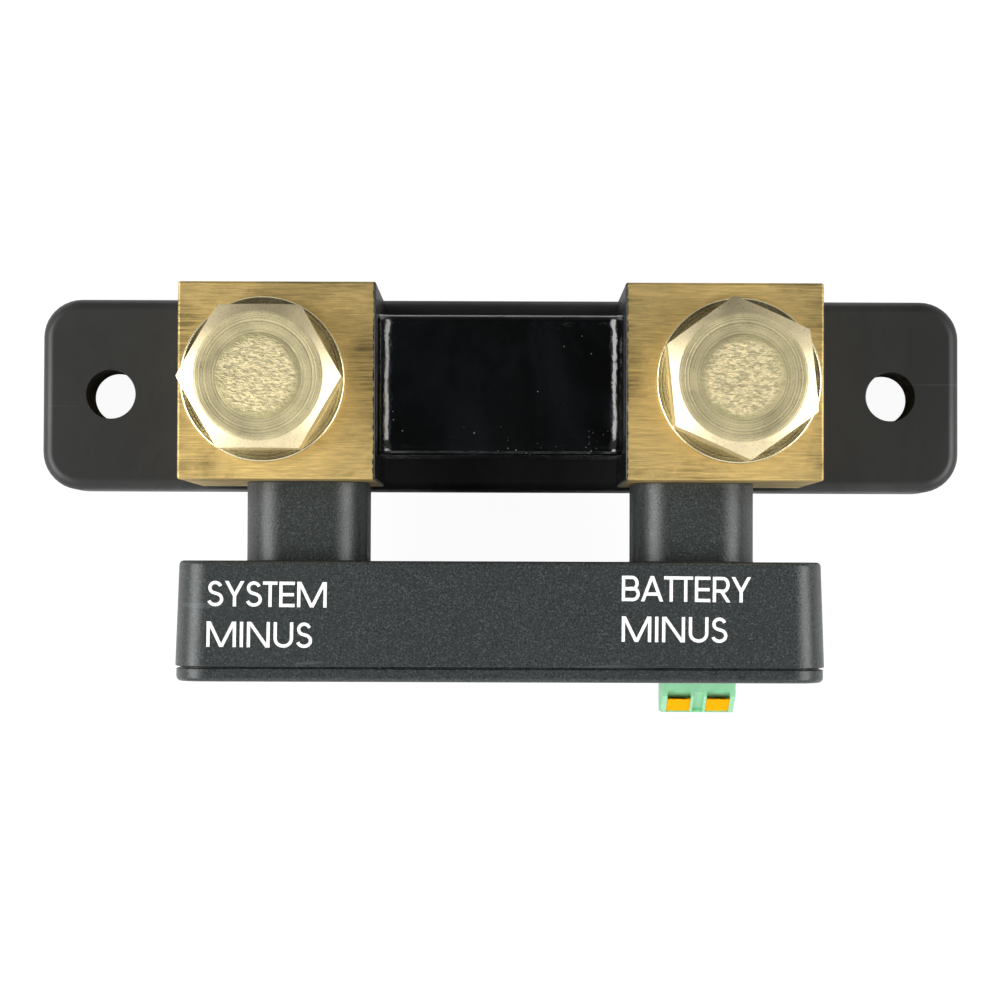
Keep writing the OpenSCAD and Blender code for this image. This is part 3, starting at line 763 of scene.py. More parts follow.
class SHUNT_OT_stage(Build):
    """Add the camera above the object, the soft lights and the pale floor"""

    bl_idname = "shunt.stage"
    bl_label = "Stage"

    camera_height: length("Camera height", "Height of the camera above the underside", 385)
    camera_behind: length("Camera place", "Y of the camera", -23.1)
    camera_tilt: FloatProperty(name="Tilt", description="Lean towards +Y", default=1.434)
    camera_roll: FloatProperty(name="Roll", description="Turn about the view", default=0.2)
    lens: FloatProperty(name="Lens", description="Focal length in millimetres", default=103.57)
    panel_power: FloatProperty(name="Panels", description="Power of a side panel", default=3.4)
    panel_rise: FloatProperty(name="Rise", description="Angle of the panels above level", default=38)
    panel_distance: length("Panel distance", "From the object to a panel", 600)
    panel_length: length("Panel length", "Size of a panel along Y", 560)
    panel_height: length("Panel height", "Size of a panel across", 330)
    gap_half: FloatProperty(name="Gap", description="Sine of half the dark strip's angle", default=0.42)
    wall_light: FloatProperty(name="Walls", description="Light of the side walls", default=0.32)
    front_light: FloatProperty(name="Front", description="Light from the front", default=0.95)
    back_light: FloatProperty(name="Back", description="Light from the back", default=0.12)
    overhead: FloatProperty(name="Overhead", description="Light of the dark strip", default=0.03)

    def build(self):
        self.add_camera()
        self.add_panels()
        self.add_floor()
        self.add_world()
        bpy.context.scene.view_settings.view_transform = "Standard"

    def add_camera(self):
        deselect()
        bpy.ops.object.camera_add(
            location=(0, self.camera_behind, self.camera_height),
            rotation=(math.radians(self.camera_tilt), 0, math.radians(self.camera_roll)),
        )
        camera = bpy.context.object
        camera.name = "camera"
        camera.data.lens = self.lens
        camera.data.sensor_width = 36
        camera.data.clip_start = 0.01
        bpy.context.scene.camera = camera

    def add_panels(self):
        """A tall soft box on each side, well above the level of the object."""
        aim = Vector((0, -0.01, 0.02))
        rise = math.radians(self.panel_rise)
        for side, way, share in (("left", -1, 1.18), ("right", 1, 0.88)):
            reach = Vector((way * math.cos(rise), -0.16, math.sin(rise))) * self.panel_distance
            size = (self.panel_length, self.panel_height)
            self.add_panel(f"{side}_panel", aim + reach, aim, size, self.panel_power * share)

    def add_panel(self, name, place, aim, size, power):
        deselect()
        turn = (place - aim).to_track_quat("Z", "Y").to_euler()
        bpy.ops.object.light_add(type="AREA", location=place, rotation=turn)
        lamp = bpy.context.object
        lamp.name = name
        lamp.data.shape = "RECTANGLE"
        lamp.data.size, lamp.data.size_y = size
        lamp.data.energy = power

    def add_floor(self):
        deselect()
        bpy.ops.mesh.primitive_plane_add(size=6, location=(0, 0, -0.0002))
        floor = settled(bpy.context.object)
        floor.name = "floor"
        made = Recipe("pale_floor", (0.86, 0.86, 0.86), 0.8)
        rays = made.node("ShaderNodeLightPath").outputs
        seen = made.math("MAXIMUM", rays["Is Camera Ray"], rays["Is Transmission Ray"])
        glow = made.node("ShaderNodeEmission")
        made.feed(glow.inputs["Color"], (1, 1, 1, 1))
        made.feed(glow.inputs["Strength"], 1.12)
        blend = made.node("ShaderNodeMixShader")
        made.feed(blend.inputs[0], made.math("MULTIPLY", seen, 0.85))
        made.feed(blend.inputs[1], made.shader.outputs[0])
        made.feed(blend.inputs[2], glow.outputs[0])
        made.feed(made.tree.nodes["Material Output"].inputs["Surface"], blend.outputs[0])
        floor.data.materials.append(made.material)

    def add_world(self):
        """Two tall light walls left and right, a dimmer back and a dark strip overhead."""
        world = bpy.data.worlds.new("soft_room")
        world.use_nodes = True
        bpy.context.scene.world = world
        made = NodeTree(world.node_tree)
        way = made.node("ShaderNodeSeparateXYZ")
        made.feed(way.inputs[0], made.node("ShaderNodeTexCoord").outputs["Generated"])
        aside = made.math("ABSOLUTE", way.outputs[X])
        walls = made.level(aside, self.gap_half - 0.03, self.gap_half + 0.05)
        low_down = made.level(way.outputs[Z], 0.93, 0.72)
        ahead = made.level(way.outputs[Y], 0.35, -0.35, self.back_light, self.front_light)
        strip = made.math("MULTIPLY", low_down, ahead)
        side = made.level(way.outputs[X], -0.5, 0.5, self.wall_light * 1.12, self.wall_light * 0.95)
        lit = made.math("MULTIPLY", walls, side)
        rest = made.math("MULTIPLY", made.level(walls, 0, 1, 1, 0), strip)
        sky = world.node_tree.nodes["Background"]
        made.feed(sky.inputs["Color"], (1, 1, 1, 1))
        made.feed(sky.inputs["Strength"], made.math("ADD", made.math("ADD", lit, rest), self.overhead))
        white = made.node("ShaderNodeBackground")
        rays = made.node("ShaderNodeLightPath").outputs
        blend = made.node("ShaderNodeMixShader")
        made.feed(blend.inputs[0], made.math("MAXIMUM", rays["Is Camera Ray"], rays["Is Transmission Ray"]))
        made.feed(blend.inputs[1], sky.outputs[0])
        made.feed(blend.inputs[2], white.outputs[0])
        made.feed(world.node_tree.nodes["World Output"].inputs["Surface"], blend.outputs[0])


class SHUNT_OT_base_plate(Build):
    """Add the moulded base with its mounting holes, screw holes and pockets"""

    bl_idname = "shunt.base_plate"
    bl_label = "Base plate"

    roof: length("Pocket roof", "Plastic left above a pocket", 2.5)
    columns: IntProperty(name="Columns", description="Pockets along X", default=4)
    rows: IntProperty(name="Rows", description="Pockets along Y", default=2)
    pocket_reach: length("Pocket reach", "Half the length of the field of pockets", 13)
    past: length("Past", "How far a cutter stands out of the face it cuts", 0.5)

    def build(self):
        low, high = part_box("base_plate")
        base = rounded_box("moulded_base", low, high, Z, sizes().base_corner, 10)
        round_edges(base, lies_at(Z, high.z), sizes().base_edge, 6)
        holes = MOUNTS["base_holes"]["dims"]
        for side in (-1, 1):
            x = side * holes["spacing_x_mm"] / 2 * MM
            self.bore(base, x, 0, holes["hole_r_mm"] * MM, low.z, high.z)
        self.cut_screw_holes(base, low, high)
        self.cut_pockets(base, low, high)
        soften(base, sizes().base_hole_edge, 2, 50)
        finish_piece(base, "root", satin_black(), ["base_plate"])

    def bore(self, base, x, y, radius, bottom, top):
        foot, end = (x, y, bottom - self.past), (x, y, top + self.past)
        cut(base, rod("bore", foot, end, radius, 72))

    def cut_screw_holes(self, base, low, high):
        screws_low, screws_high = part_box("base_screws")
        head = 4.65 * MM
        recess = 3.4 * MM
        shank = 2.6 * MM
        for block in SIDES:
            block_low, block_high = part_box(f"{block}_block")
            middle = (block_low.x + block_high.x) / 2
            spread = screws_high.x - 4.25 * MM - abs(middle)
            for step in (-spread, spread):
                self.bore(base, middle + step, 0, shank, low.z, high.z)
                foot = (middle + step, 0, low.z - self.past)
                cut(base, rod("recess", foot, (middle + step, 0, low.z + recess), head, 48))

    def cut_pockets(self, base, low, high):
        rib, wall = sizes().pocket_rib, sizes().pocket_wall
        wide = (2 * self.pocket_reach - (self.columns - 1) * rib) / self.columns
        deep = (high.y - low.y - 2 * wall - (self.rows - 1) * rib) / self.rows
        for column in range(self.columns):
            for row in range(self.rows):
                x = -self.pocket_reach + column * (wide + rib)
                y = low.y + wall + row * (deep + rib)
                corner = (x, y, low.z - self.past)
                far = (x + wide, y + deep, high.z - self.roof)
                cut(base, rounded_box("pocket", corner, far, Z, 0.6 * MM, 3))


class SHUNT_OT_terminal_blocks(Build):
    """Add the two brass blocks with their bolt holes and strip slots"""

    bl_idname = "shunt.terminal_blocks"
    bl_label = "Terminal blocks"

    bolt_hole: length("Bolt hole", "Radius of the hole for a bolt", 5.05)
    hole_bottom: length("Hole bottom", "Height of the hole's bottom", 17)
    mouth: length("Hole mouth", "Width of the chamfer at the hole's mouth", 0.5)

    def build(self):
        for side in SIDES:
            low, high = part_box(f"{side}_block")
            block = box(f"{side}_brass_block", low, high)
            soften(block, sizes().block_edge, 3, 60)
            self.cut_bolt_hole(block, bolt_axis(side), high.z)
            for strip in STRIPS:
                strip_low, strip_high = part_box(strip)
                cut(block, box("slot", strip_low, strip_high))
            finish_piece(block, "root", brushed_brass(side), [f"{side}_block"], 40)

    def cut_bolt_hole(self, block, axis, top):
        centre = (axis.x, axis.y)
        over = 0.5 * MM
        hole = rod("hole", (*centre, self.hole_bottom), (*centre, top + over), self.bolt_hole, 96)
        wide = self.bolt_hole + self.mouth
        mouth = rod("mouth", (*centre, top - self.mouth), (*centre, top), self.bolt_hole, 96, wide)
        cut(block, hole, mouth)


class SHUNT_OT_resistor(Build):
    """Add the lacquered resistor strips with their raised lips and fillets"""

    bl_idname = "shunt.resistor"
    bl_label = "Resistor strips"

    steps: IntProperty(name="Steps", description="Lines across a fillet", default=7)
    side_round: length("Side round", "Rounding of the strips' long edges", 0.55)

    def build(self):
        top = self.make_strip(STRIPS[-1])
        material = lacquer_black()
        top_low, top_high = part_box(STRIPS[-1])
        for strip in STRIPS[:-1]:
            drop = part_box(strip)[0] - top_low
            copy = copied(top, strip.replace("resistor", "lacquered"), drop)
            finish_piece(copy, "root", material, [strip], 60)
        finish_piece(top, "root", material, [STRIPS[-1]], 60)

    def make_strip(self, node):
        low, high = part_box(node)
        strip = box(node.replace("resistor", "lacquered"), low, high)
        face = block_face("battery")
        fillet, lip = sizes().lacquer_fillet, sizes().lacquer_lip
        reach = [fillet * (1 - math.cos(math.pi / 2 * n / self.steps)) for n in range(self.steps)]
        ends = [side * (face - step) for step in reach for side in (-1, 1)]
        middle = [part / 6 * (face - fillet) for part in range(-6, 7)]
        slice_at(strip, X, sorted(ends + middle))
        edges = [0.25, 0.55, 0.95, 1.5, 2.4]
        lines = [side * (high.y - step * MM) for step in edges for side in (-1, 1)]
        slice_at(strip, Y, sorted(lines + [high.y * part / 4 for part in (-2, -1, 0, 1, 2)]))
        heights = {}
        for vertex in strip.data.vertices:
            if vertex.co.z > high.z - 1e-6:
                heights[vertex.index] = self.rise(vertex.co, face, fillet, lip, high)
        self.lift(strip, heights)
        round_edges(strip, self.is_long_edge(high), self.side_round, 4)
        return strip

    def rise(self, point, face, fillet, lip, high):
        """Height of the lacquer over the strip at a point of its top."""
        gap = face - abs(point.x)
        up = 0.0
        if 0 <= gap < fillet:
            up = fillet - math.sqrt(fillet**2 - (fillet - gap) ** 2)
        beside = (high.y - abs(point.y)) / (1.5 * MM)
        flare = 1 + 1.4 * max(0.0, 1 - gap / (3.5 * MM)) if gap >= 0 else 1
        crest = math.exp(-(((beside - 0.45) / 0.42) ** 2))
        return min(up, 1.2 * MM) + lip * flare * crest

    def lift(self, piece, heights):
        """Raise chosen points, those of one height together."""
        levels = {}
        for index, height in heights.items():
            levels.setdefault(round(height, 6), []).append(index)
        only(piece)
        for height, indices in levels.items():
            bpy.ops.object.mode_set(mode="EDIT")
            bpy.ops.mesh.select_mode(type="VERT")
            bpy.ops.mesh.select_all(action="DESELECT")
            bpy.ops.object.mode_set(mode="OBJECT")
            for index in indices:
                piece.data.vertices[index].select = True
            bpy.ops.object.mode_set(mode="EDIT")
            bpy.ops.transform.translate(value=(0, 0, height))
        bpy.ops.object.mode_set(mode="OBJECT")

    def is_long_edge(self, high):
        """Tests for the two edges of the top along X."""

        def wanted(a, b):
            outside = all(abs(abs(point.y) - high.y) < 1e-6 for point in (a, b))
            return outside and a.y * b.y > 0 and min(a.z, b.z) > high.z - 1e-6

        return wanted


class SHUNT_OT_bolts(Build):
    """Add the two threaded bolts and their washers"""

    bl_idname = "shunt.bolts"
    bl_label = "Bolts and washers"

    chamfer: FloatProperty(name="Chamfer", description="Angle of the head's chamfer", default=30)
    rim: length("Rim", "Width of the level rim round the dish", 0.35)
    thread_depth: length("Thread depth", "Depth of the thread", 0.85)

    def build(self):
        for side in SIDES:
            self.add_bolt(side)
            self.add_washer(side)

    def add_bolt(self, side):
        low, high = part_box(f"{side}_bolt")
        axis = bolt_axis(side)
        seat = axis.z
        head = self.make_head(side, axis, seat, high.z)
        shank_radius = 5 * MM
        shank = self.make_shank(axis, low.z, seat + 0.5 * MM, shank_radius)
        bolt = joined(head, *shank)
        bolt.name = f"{side}_terminal_bolt"
        material = turned_brass(f"turned_brass_{side}", Vector((axis.x, axis.y, high.z)), sizes().bolt_flat)
        finish_piece(bolt, f"{side}_bolt", material, [f"{side}_bolt"], 28)

    def make_head(self, side, axis, bottom, top):
        """A hexagon trimmed by a chamfer cone, with a dished top."""
        flats = 17 * MM
        corner = flats / 2 / math.cos(math.radians(30))
        head = rod("head", (axis.x, axis.y, bottom), (axis.x, axis.y, top), corner, 6)
        soften(head, sizes().bolt_edge, 3)
        turn = self.head_turn(side)
        only(head)
        bpy.ops.object.mode_set(mode="EDIT")
        bpy.ops.mesh.select_all(action="SELECT")
        bpy.ops.transform.rotate(value=-turn, orient_axis="Z", center_override=axis)
        bpy.ops.object.mode_set(mode="OBJECT")
        flat, sides = sizes().bolt_flat, sizes().head_sides
        over = 1 * MM
        spread = (top - bottom + over) / math.tan(math.radians(self.chamfer))
        foot = (axis.x, axis.y, bottom - over)
        cone = rod("cone", foot, (axis.x, axis.y, top), flat + spread, sides, flat)
        combine(head, cone, "INTERSECT")
        self.dish(head, top)
        return head

    def head_turn(self, side):
        """The system bolt has corners along X; the battery bolt stopped at another angle."""
        return math.radians({"system": 30, "battery": 30 + 36}[side])

    def dish(self, head, top):
        """Sink the middle of the top in two steps, with a level rim left round it."""
        round_edges(head, lies_at(Z, top), self.rim / 3, 3)
        pick_faces(head, lambda centre, normal: normal.z > 0.999 and centre.z > top - 1e-5)
        bpy.ops.mesh.inset(thickness=self.rim, depth=0)
        bpy.ops.mesh.inset(thickness=1.9 * MM, depth=-0.3 * sizes().bolt_dish)
        bpy.ops.mesh.inset(thickness=0.7 * MM, depth=-0.7 * sizes().bolt_dish)
        bpy.ops.object.mode_set(mode="OBJECT")

    def make_shank(self, axis, bottom, top, radius):
        """A core with a helical ridge wound round it."""
        pitch = sizes().thread_pitch
        root = radius - self.thread_depth
        core = rod("core", (axis.x, axis.y, bottom), (axis.x, axis.y, top), root, 64)
        turns = int((top - bottom) / pitch) - 1
        deselect()
        bpy.ops.mesh.primitive_plane_add(size=pitch, location=(root, 0, 0), rotation=(math.pi / 2, 0, 0))
        ridge = settled(bpy.context.object)
        ridge.name = "ridge"
        inside = root - 0.1 * MM
        for vertex in ridge.data.vertices:
            outer = vertex.co.x > root
            vertex.co.x = radius if outer else inside
            vertex.co.z *= 0.12 if outer else 0.98
        only(ridge)
        step = ridge.modifiers.new("wind", "SCREW")
        step.screw_offset = pitch
        step.iterations = turns
        step.steps = step.render_steps = 48
        step.use_merge_vertices = True
        step.merge_threshold = 1e-6
        bpy.ops.object.modifier_apply(modifier=step.name)
        tidy_mesh(ridge)
        ridge.location = (axis.x, axis.y, bottom + 0.6 * pitch)
        return settled(ridge), core

    def add_washer(self, side):
        low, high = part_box(f"{side}_washer")
        axis = bolt_axis(side)
        centre = (axis.x, axis.y)
        washer = rod(f"{side}_brass_washer", (*centre, low.z), (*centre, high.z), (high.y - low.y) / 2, 128)
        over = 1 * MM
        hole = rod("hole", (*centre, low.z - over), (*centre, high.z + over), 5.25 * MM, 96)
        cut(washer, hole)
        soften(washer, sizes().washer_edge, 3, 50)
        material = turned_brass(f"washer_brass_{side}", axis, (high.y - low.y) / 2, 0.2)
        finish_piece(washer, f"{side}_washer", material, [f"{side}_washer"], 40)


class SHUNT_OT_housing(Build):
    """Add the housing shell with its two necks, and the front cover"""

    bl_idname = "shunt.housing"
    bl_label = "Housing"

    def build(self):
        material = eroded_grey()
        self.add_shell(material)
        self.add_cover(material)

    def add_shell(self, material):
        low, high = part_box("housing_shell")
        back = shell_back()
        corner, wall = sizes().housing_corner, sizes().housing_wall
        shell = rounded_box("charcoal_shell", low, (high.x, back, high.z), Y, corner, 12)
        pick_faces(shell, lambda centre, normal: normal.y > 0.9)
        narrower = 1 - sizes().housing_draft / high.x
        bpy.ops.transform.resize(value=(narrower, 1, 1), center_override=(0, back, 0))
        bpy.ops.object.mode_set(mode="OBJECT")
        round_edges(shell, lies_at(Y, back), sizes().housing_rim, 3)
        inner_low = (low.x + wall, low.y - wall, low.z + wall)
        inner_high = (high.x - wall, back - wall, high.z - wall)
        for side in SIDES:
            combine(shell, self.neck(side, back), "UNION")
        cut(shell, rounded_box("room", inner_low, inner_high, Y, corner - wall, 6))
        for side in SIDES:
            pillar_low, pillar_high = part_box(f"{side}_sense_pillar")
            middle = (pillar_low + pillar_high) / 2
            start = (middle.x, pillar_high.y + 1 * MM, middle.z)
            end = (middle.x, back - 2 * wall, middle.z)
            cut(shell, rod("bore", start, end, sizes().neck_bore, 48))
        soften(shell, 0.15 * MM, 2, 50)
        finish_piece(shell, "root", material, ["housing_shell"], 35)

    def neck(self, side, back):
        """A rounded stub from the block's front face into the shell."""
        pillar_low, pillar_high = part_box(f"{side}_sense_pillar")
        middle = (pillar_low + pillar_high) / 2
        half_wide, half_high = 7.5 * MM, 9 * MM
        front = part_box(f"{side}_block")[0].y
        low = (middle.x - half_wide, back - 1 * MM, middle.z - half_high)
        high = (middle.x + half_wide, front, middle.z + half_high)
        return rounded_box("neck", low, high, Y, sizes().neck_corner, 12)

    def add_cover(self, material):
        low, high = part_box("front_cover")
        shell_low, shell_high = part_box("housing_shell")
        inset, groove = sizes().cover_inset, sizes().parting_groove
        corner = sizes().housing_corner
        plate_low = (shell_low.x + inset, low.y, shell_low.z + inset)
        plate_high = (shell_high.x - inset, shell_low.y - groove, shell_high.z - inset)
        cover = rounded_box("charcoal_cover", plate_low, plate_high, Y, corner, 12)
        round_edges(cover, lies_at(Y, low.y), sizes().cover_edge, 4)
        deep = 0.6 * MM
        spigot_low = (shell_low.x + deep, plate_high[1] - groove, shell_low.z + deep)
        spigot_high = (shell_high.x - deep, shell_low.y, shell_high.z - deep)
        combine(cover, rounded_box("spigot", spigot_low, spigot_high, Y, corner - deep, 12), "UNION")
        clear = 0.1 * MM
        for node in ("terminal_housing", "data_socket", "status_light_pipe", "link_light_pipe"):
            node_low, node_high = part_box(node)
            opening_low = (node_low.x - clear, low.y - 1 * MM, node_low.z - clear)
            opening_high = (node_high.x + clear, shell_low.y + 1 * MM, node_high.z + clear)
            if node.endswith("light_pipe"):
                middle = (node_low + node_high) / 2
                start = (middle.x, opening_low[1], middle.z)
                end = (middle.x, opening_high[1], middle.z)
                cut(cover, rod("hole", start, end, (node_high.x - node_low.x) / 2 + clear, 48))
            else:
                cut(cover, box("opening", opening_low, opening_high))
        soften(cover, 0.12 * MM, 2, 50)
        finish_piece(cover, "root", material, ["front_cover"], 35)


class SHUNT_OT_terminal(Build):
    """Add the green terminal housing and its two orange release levers"""

    bl_idname = "shunt.terminal"
    bl_label = "Terminal"

    edge: length("Edge", "Bevel of the terminal's outer edges", 0.12)
    slot_depth: length("Slot depth", "Depth of a slot under the slope", 0.85)
    slot_margin: length("Slot margin", "Plastic left below a slot", 0.2)
    groove_half: length("Groove", "Half the width of the groove between the slots", 0.66)
    groove_depth: length("Groove depth", "Depth of that groove", 0.45)
    scoop_rise: length("Scoop", "How far a scoop reaches behind the slope's top", 1.05)
    scoop_radius: length("Scoop radius", "Radius of a scoop's back wall", 2.6)
    scoop_depth: length("Scoop depth", "Depth of a scoop", 0.75)
    lever_start: length("Lever start", "From the slope's top to a lever", 0.95)
    lever_length: length("Lever length", "Length of a lever along the slope", 3.85)
    lever_inset: length("Lever inset", "How far a lever lies under the slope", 0.1)
    lever_thickness: length("Lever thickness", "Thickness of a lever", 0.7)
    lever_hollow: length("Lever hollow", "Depth of the hollow in a lever's upper edge", 0.22)
    lever_round: length("Lever round", "Rounding of a lever's edges", 0.18)

    def build(self):
        low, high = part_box("terminal_housing")
        green = moulded("mint_plastic", colours().terminal, 0.45, 0.06, 0.00001, 0.1, 0.25)
        orange = moulded("orange_plastic", colours().lever, 0.6, 0.03, scatter=0.2, shine=0.0)
        top, foot = lever_slope()
        shell = box("mint_terminal", low, high)
        down = (foot - top).normalized()
        trim(shell, top, Vector((0, down.z, -down.y)))
        soften(shell, self.edge, 2, 20)
        for number in (1, 2):
            self.cut_pole(shell, number, top, foot)
        reach = (foot - top).length - self.slot_margin
        groove_low = (-self.groove_half, -reach, -self.groove_depth)
        groove = box("groove", groove_low, (self.groove_half, 0.35 * MM, 1 * MM))
        cut(shell, self.on_slope(groove, (self.pole_x(1) + self.pole_x(2)) / 2))
        finish_piece(shell, "root", green, ["terminal_housing"], 20)
        for number in (1, 2):
            self.add_lever(number, orange)

    def pole_x(self, number):
        """X of a pole's middle."""
        return MOUNTS[f"wire_entry_{number}"]["pos_m"][0]

    def on_slope(self, piece, x):
        """Lay a piece against the slope: its Y runs up the slope from the top edge, its Z out."""
        top, foot = lever_slope()
        down = (foot - top).normalized()
        outward = Vector((0, down.z, -down.y))
        turn = Matrix((Vector((1, 0, 0)), -down, outward)).transposed().to_4x4()
        piece.matrix_world = Matrix.Translation(Vector((x, top.y, top.z))) @ turn
        settled(piece)
        return tidy_mesh(piece)

    def cut_pole(self, shell, number, top, foot):
        """A lever's slot in the slope, the scoop behind it and the wire entry below."""
        x = self.pole_x(number)
        half = sizes().slot_width / 2
        reach = (foot - top).length - self.slot_margin
        slot = box("slot", (-half, -reach, -self.slot_depth), (half, 0, 1 * MM))
        cut(shell, self.on_slope(slot, x))
        y = top.y + self.scoop_rise - self.scoop_radius
        floor, above = top.z - self.scoop_depth, top.z + 1 * MM
        scoop = rod("scoop", (x, y, floor), (x, y, above), self.scoop_radius, 64)
        sides = box("sides", (x - half, y, floor - 1 * MM), (x + half, top.y + 2 * MM, above + 1 * MM))
        cut(shell, combine(scoop, sides, "INTERSECT"))
        entry = MOUNTS[f"wire_entry_{number}"]
        mouth = Vector(entry["pos_m"])
        end = mouth + Vector((0, entry["dims"]["length_mm"] * MM, 0))
        radius = entry["dims"]["r_mm"] * MM
        cut(shell, rod("entry", mouth - Vector((0, 0.5 * MM, 0)), end, radius, 40))

    def add_lever(self, number, material):
        """A thin paddle along the slope, hollowed a little at its upper edge."""
        node = f"release_lever_{number}"
        node_low, node_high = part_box(node)
        half = (node_high.x - node_low.x) / 2
        start, inset = self.lever_start, self.lever_inset
        low = (-half, -start - self.lever_length, -inset - self.lever_thickness)
        lever = box(f"orange_lever_{number}", low, (half, -start, -inset))
        slice_at(lever, X, [-half * 0.5, 0, half * 0.5])
        hollow = (0, -self.lever_hollow, 0)
        shift_lines(lever, X, 0, hollow, lambda a, b: min(a.y, b.y) > -start - 1e-6)
        soften(lever, self.lever_round, 3, 50)
        self.on_slope(lever, self.pole_x(number))
        highest = max((vertex.co for vertex in lever.data.vertices), key=lambda point: point.z - point.y)
        trim(lever, Vector((0, highest.y + 0.05 * MM, 0)), Vector((0, 1, 0)))
        finish_piece(lever, node, material, [node], 40)


def arc(centre, radii, start, end, steps=14):
    """Points along part of an ellipse, in letter heights."""
    turns = [math.radians(start + (end - start) * n / steps) for n in range(steps + 1)]
    return [(centre[0] + radii[0] * math.cos(t), centre[1] + radii[1] * math.sin(t)) for t in turns]


def letters(weight):
    """Strokes, width and side bearings of each capital, in letter heights."""
    low, high, mid = weight / 2, 1 - weight / 2, 0.49
    wide, open_side, round_side = 0.075, 0.0, 0.02

    def stem(x):
        return [(x, 0), (x, 1)]

    def bar(y, start, end):
        return [(start, y), (end, y)]

    ess = arc((0.335, 0.73), (0.215, high - 0.73), 18, 242)
    ess += arc((0.335, 0.285), (0.255, 0.285 - low), 62, -163, 18)
    cup = [(low, 1), *arc((0.385, 0.36), (0.385 - low, 0.36 - low), 180, 360, 20), (0.77 - low, 1)]
    lower = arc((0.42, 0.285), (0.71 - low - 0.42, 0.285 - low), -90, 90)
    upper = arc((0.40, 0.705), (0.66 - low - 0.40, high - 0.705), -90, 90)
    bee_low = [(low, low), *lower, (low, mid)]
    bee_high = [(low, mid), *upper, (low, high)]
    arr_high = [(low, 0.45), *arc((0.40, 0.684), (0.66 - low - 0.40, high - 0.684), -90, 90), (low, high)]
    return {
        "A": ([[(0.095, 0), (0.465, 1)], [(0.835, 0), (0.465, 1)], bar(0.29, 0.2, 0.73)], 0.93, open_side, open_side),
        "B": ([stem(low), bee_low, bee_high], 0.71, wide, round_side),
        "E": ([stem(low), bar(low, low, 0.61), bar(mid, low, 0.58), bar(high, low, 0.61)], 0.61, wide, 0.02),
        "I": ([stem(low)], weight, wide, wide),
        "M": ([stem(low), stem(1.16 - low), [(0.09, 1), (0.58, 0)], [(1.07, 1), (0.58, 0)]], 1.16, wide, wide),
        "N": ([stem(low), stem(0.9 - low), [(0.09, 1), (0.81, 0)]], 0.9, wide, wide),
        "R": ([stem(low), arr_high, [(0.33, 0.45), (0.62, 0)]], 0.71, wide, open_side),
        "S": ([ess], 0.67, round_side, round_side),
        "T": ([bar(high, 0, 0.57), stem(0.285)], 0.57, open_side, open_side),
        "U": ([cup], 0.77, wide, wide),
        "Y": ([[(0.095, 1), (0.405, 0.42)], [(0.715, 1), (0.405, 0.42)], [(0.405, 0), (0.405, 0.47)]], 0.81, 0, 0),
    }


class SHUNT_OT_lettering(Build):
    """Print the two words at each neck on top of the housing"""

    bl_idname = "shunt.lettering"
    bl_label = "Lettering"

    lean: FloatProperty(name="Lean", description="Turn of the print in degrees", default=-0.5)
    weight: FloatProperty(name="Weight", description="Stroke in letter heights", default=0.128)
    left_margin: length("Left margin", "From the housing's end to the system label", 4.2)
    battery_start: length("Battery label", "X of the battery label", 14.85)
    system_drop: length("System drop", "From the back edge to the first baseline", 5.58)
    battery_drop: length("Battery drop", "From the back edge to the first baseline", 4.79)

    def build(self):
        low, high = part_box("housing_shell")
        back = shell_back()
        ink = printed_ink()
        starts = {
            "system": (low.x + self.left_margin, back - self.system_drop),
            "battery": (self.battery_start, back - self.battery_drop),
        }
        for side, (x, y) in starts.items():
            for line, word in enumerate((side.upper(), "MINUS")):
                place = Vector((x, y - line * sizes().line_pitch, high.z))
                self.print_word(f"{side}_label_{line + 1}", word, place, ink)

    def print_word(self, name, word, place, ink):
        glyphs = letters(self.weight)
        strokes, x = [], -glyphs[word[0]][2]
        for letter in word:
            lines, width, before, after = glyphs[letter]
            x += before
            strokes += [[(x + point[0], point[1]) for point in line] for line in lines]
            x += width + after
        tall = sizes().letter_height
        layer = 0.0004
        shapes = [self.stroke(line, self.weight / 2, layer * n) for n, line in enumerate(strokes)]
        label = joined(*shapes)
        label.name = name
        pick_faces(label, lambda centre, normal: True)
        bpy.ops.mesh.extrude_region_move(TRANSFORM_OT_translate={"value": (0, 0, sizes().ink / tall)})
        bpy.ops.object.mode_set(mode="OBJECT")
        label.scale = (tall, tall, tall)
        label.rotation_euler = (0, 0, math.radians(self.lean))
        label.location = place
        settled(label)
        finish_piece(label, "root", ink)

    def stroke(self, line, half, height):
        """A flat ribbon along a line; a single slanted stroke has level ends."""
        count = len(line)
        left, right = [], []
        for index, (x, y) in enumerate(line):
            before = Vector(line[max(index - 1, 0)])
            after = Vector(line[min(index + 1, count - 1)])
            along = (after - before).normalized()
            side = Vector((-along.y, along.x)) * half
            if count == 2 and abs(along.x) > 1e-6 and abs(along.y) > 1e-6:
                side = Vector((math.copysign(half / abs(along.y), side.x), 0))
            left.append((x + side.x, y + side.y, height))
            right.append((x - side.x, y - side.y, height))
        mesh = bpy.data.meshes.new("stroke")
        faces = [(count + n, count + n + 1, n + 1, n) for n in range(count - 1)]
        mesh.from_pydata(left + right, [], faces)
        made = bpy.data.objects.new("stroke", mesh)
        bpy.context.scene.collection.objects.link(made)
        return made


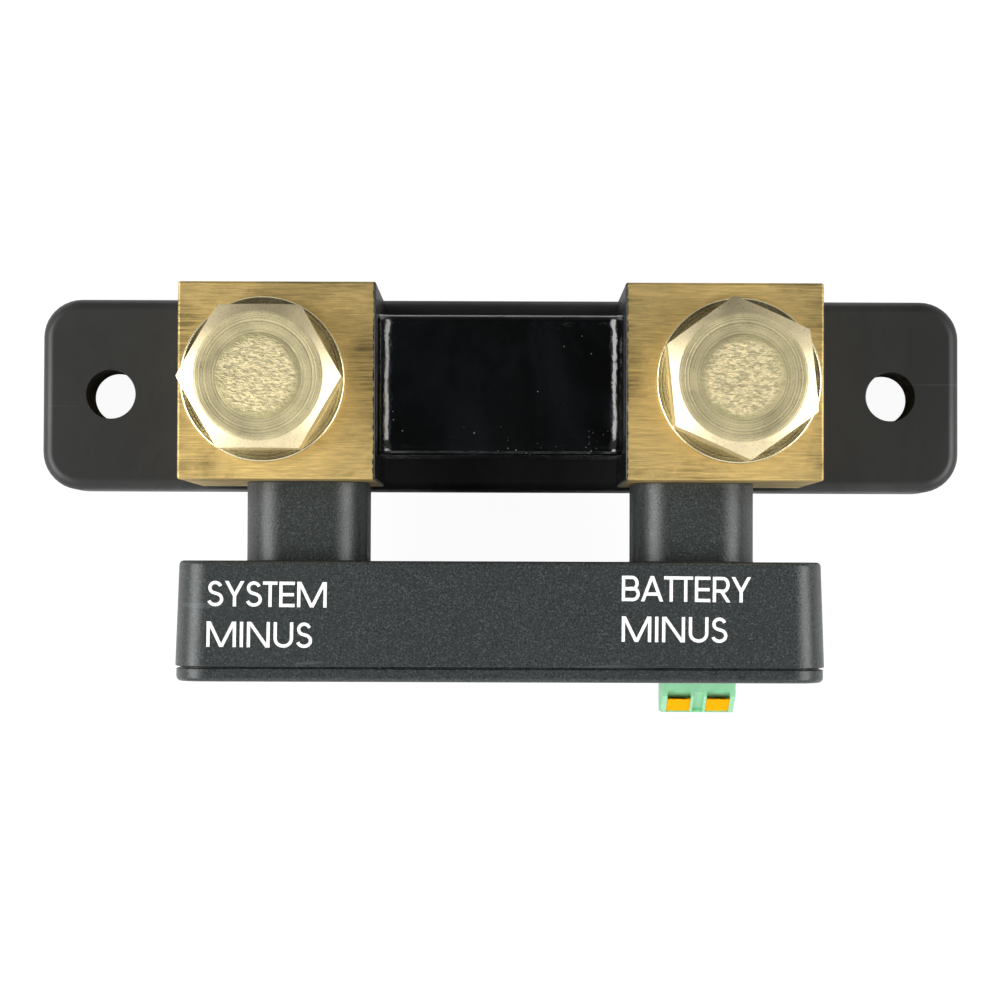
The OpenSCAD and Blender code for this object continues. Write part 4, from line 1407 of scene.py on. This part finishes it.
class SHUNT_OT_inner_parts(Build):
    """Give the kept pieces of the frame their materials"""

    bl_idname = "shunt.inner_parts"
    bl_label = "Inner parts"

    def build(self):
        tints = colours()
        finishes = {
            "screw_steel": plated("zinc_steel", tints.steel, 0.3),
            "block_brass": plated("drawn_brass", tints.block_brass, 0.3),
            "contact_gold": plated("plated_contact", tints.gold, 0.22),
            "capacitor_can": plated("aluminium_can", tints.can, 0.3),
            "board_laminate": solder_mask(),
            "socket_nylon": moulded("natural_nylon", tints.nylon, 0.42, 0.05, 0.00001, 0.2),
            "chip_epoxy": moulded("chip_epoxy", tints.epoxy, 0.5, 0.1, 0.00002),
            "clear_acrylic": clear_plastic(),
        }
        for part in frame["record"]["subparts"]:
            node = NODES[part["node"]]
            finish = finishes.get(part["material_slot"])
            if finish and not node.hide_render:
                node.data.materials.clear()
                node.data.materials.append(finish)


PIECE_OPERATORS = (
    SHUNT_OT_stage,
    SHUNT_OT_base_plate,
    SHUNT_OT_terminal_blocks,
    SHUNT_OT_resistor,
    SHUNT_OT_bolts,
    SHUNT_OT_housing,
    SHUNT_OT_terminal,
    SHUNT_OT_lettering,
    SHUNT_OT_inner_parts,
)


class SHUNT_PT_pieces(bpy.types.Panel):
    """Lists the shunt's pieces, sizes and colours"""

    bl_idname = "SHUNT_PT_pieces"
    bl_label = "Battery monitor shunt"
    bl_space_type = "VIEW_3D"
    bl_region_type = "UI"
    bl_category = "Shunt"

    def draw(self, context):
        for operator in PIECE_OPERATORS:
            self.layout.operator(operator.bl_idname)
        for group in (context.scene.shunt_sizes, context.scene.shunt_colours):
            column = self.layout.column(align=True)
            for name in group.__annotations__:
                column.prop(group, name)


CLASSES = (ShuntSizes, ShuntColours, *PIECE_OPERATORS, SHUNT_PT_pieces)


def register():
    for kind in CLASSES:
        bpy.utils.register_class(kind)
    bpy.types.Scene.shunt_sizes = PointerProperty(type=ShuntSizes)
    bpy.types.Scene.shunt_colours = PointerProperty(type=ShuntColours)


def unregister():
    del bpy.types.Scene.shunt_colours
    del bpy.types.Scene.shunt_sizes
    for kind in reversed(CLASSES):
        bpy.utils.unregister_class(kind)


def main():
    register()
    bpy.ops.shunt.stage()
    bpy.ops.shunt.base_plate()
    bpy.ops.shunt.terminal_blocks()
    bpy.ops.shunt.resistor()
    bpy.ops.shunt.bolts()
    bpy.ops.shunt.housing()
    bpy.ops.shunt.terminal()
    bpy.ops.shunt.lettering()
    bpy.ops.shunt.inner_parts()


if __name__ == "__main__":
    main()
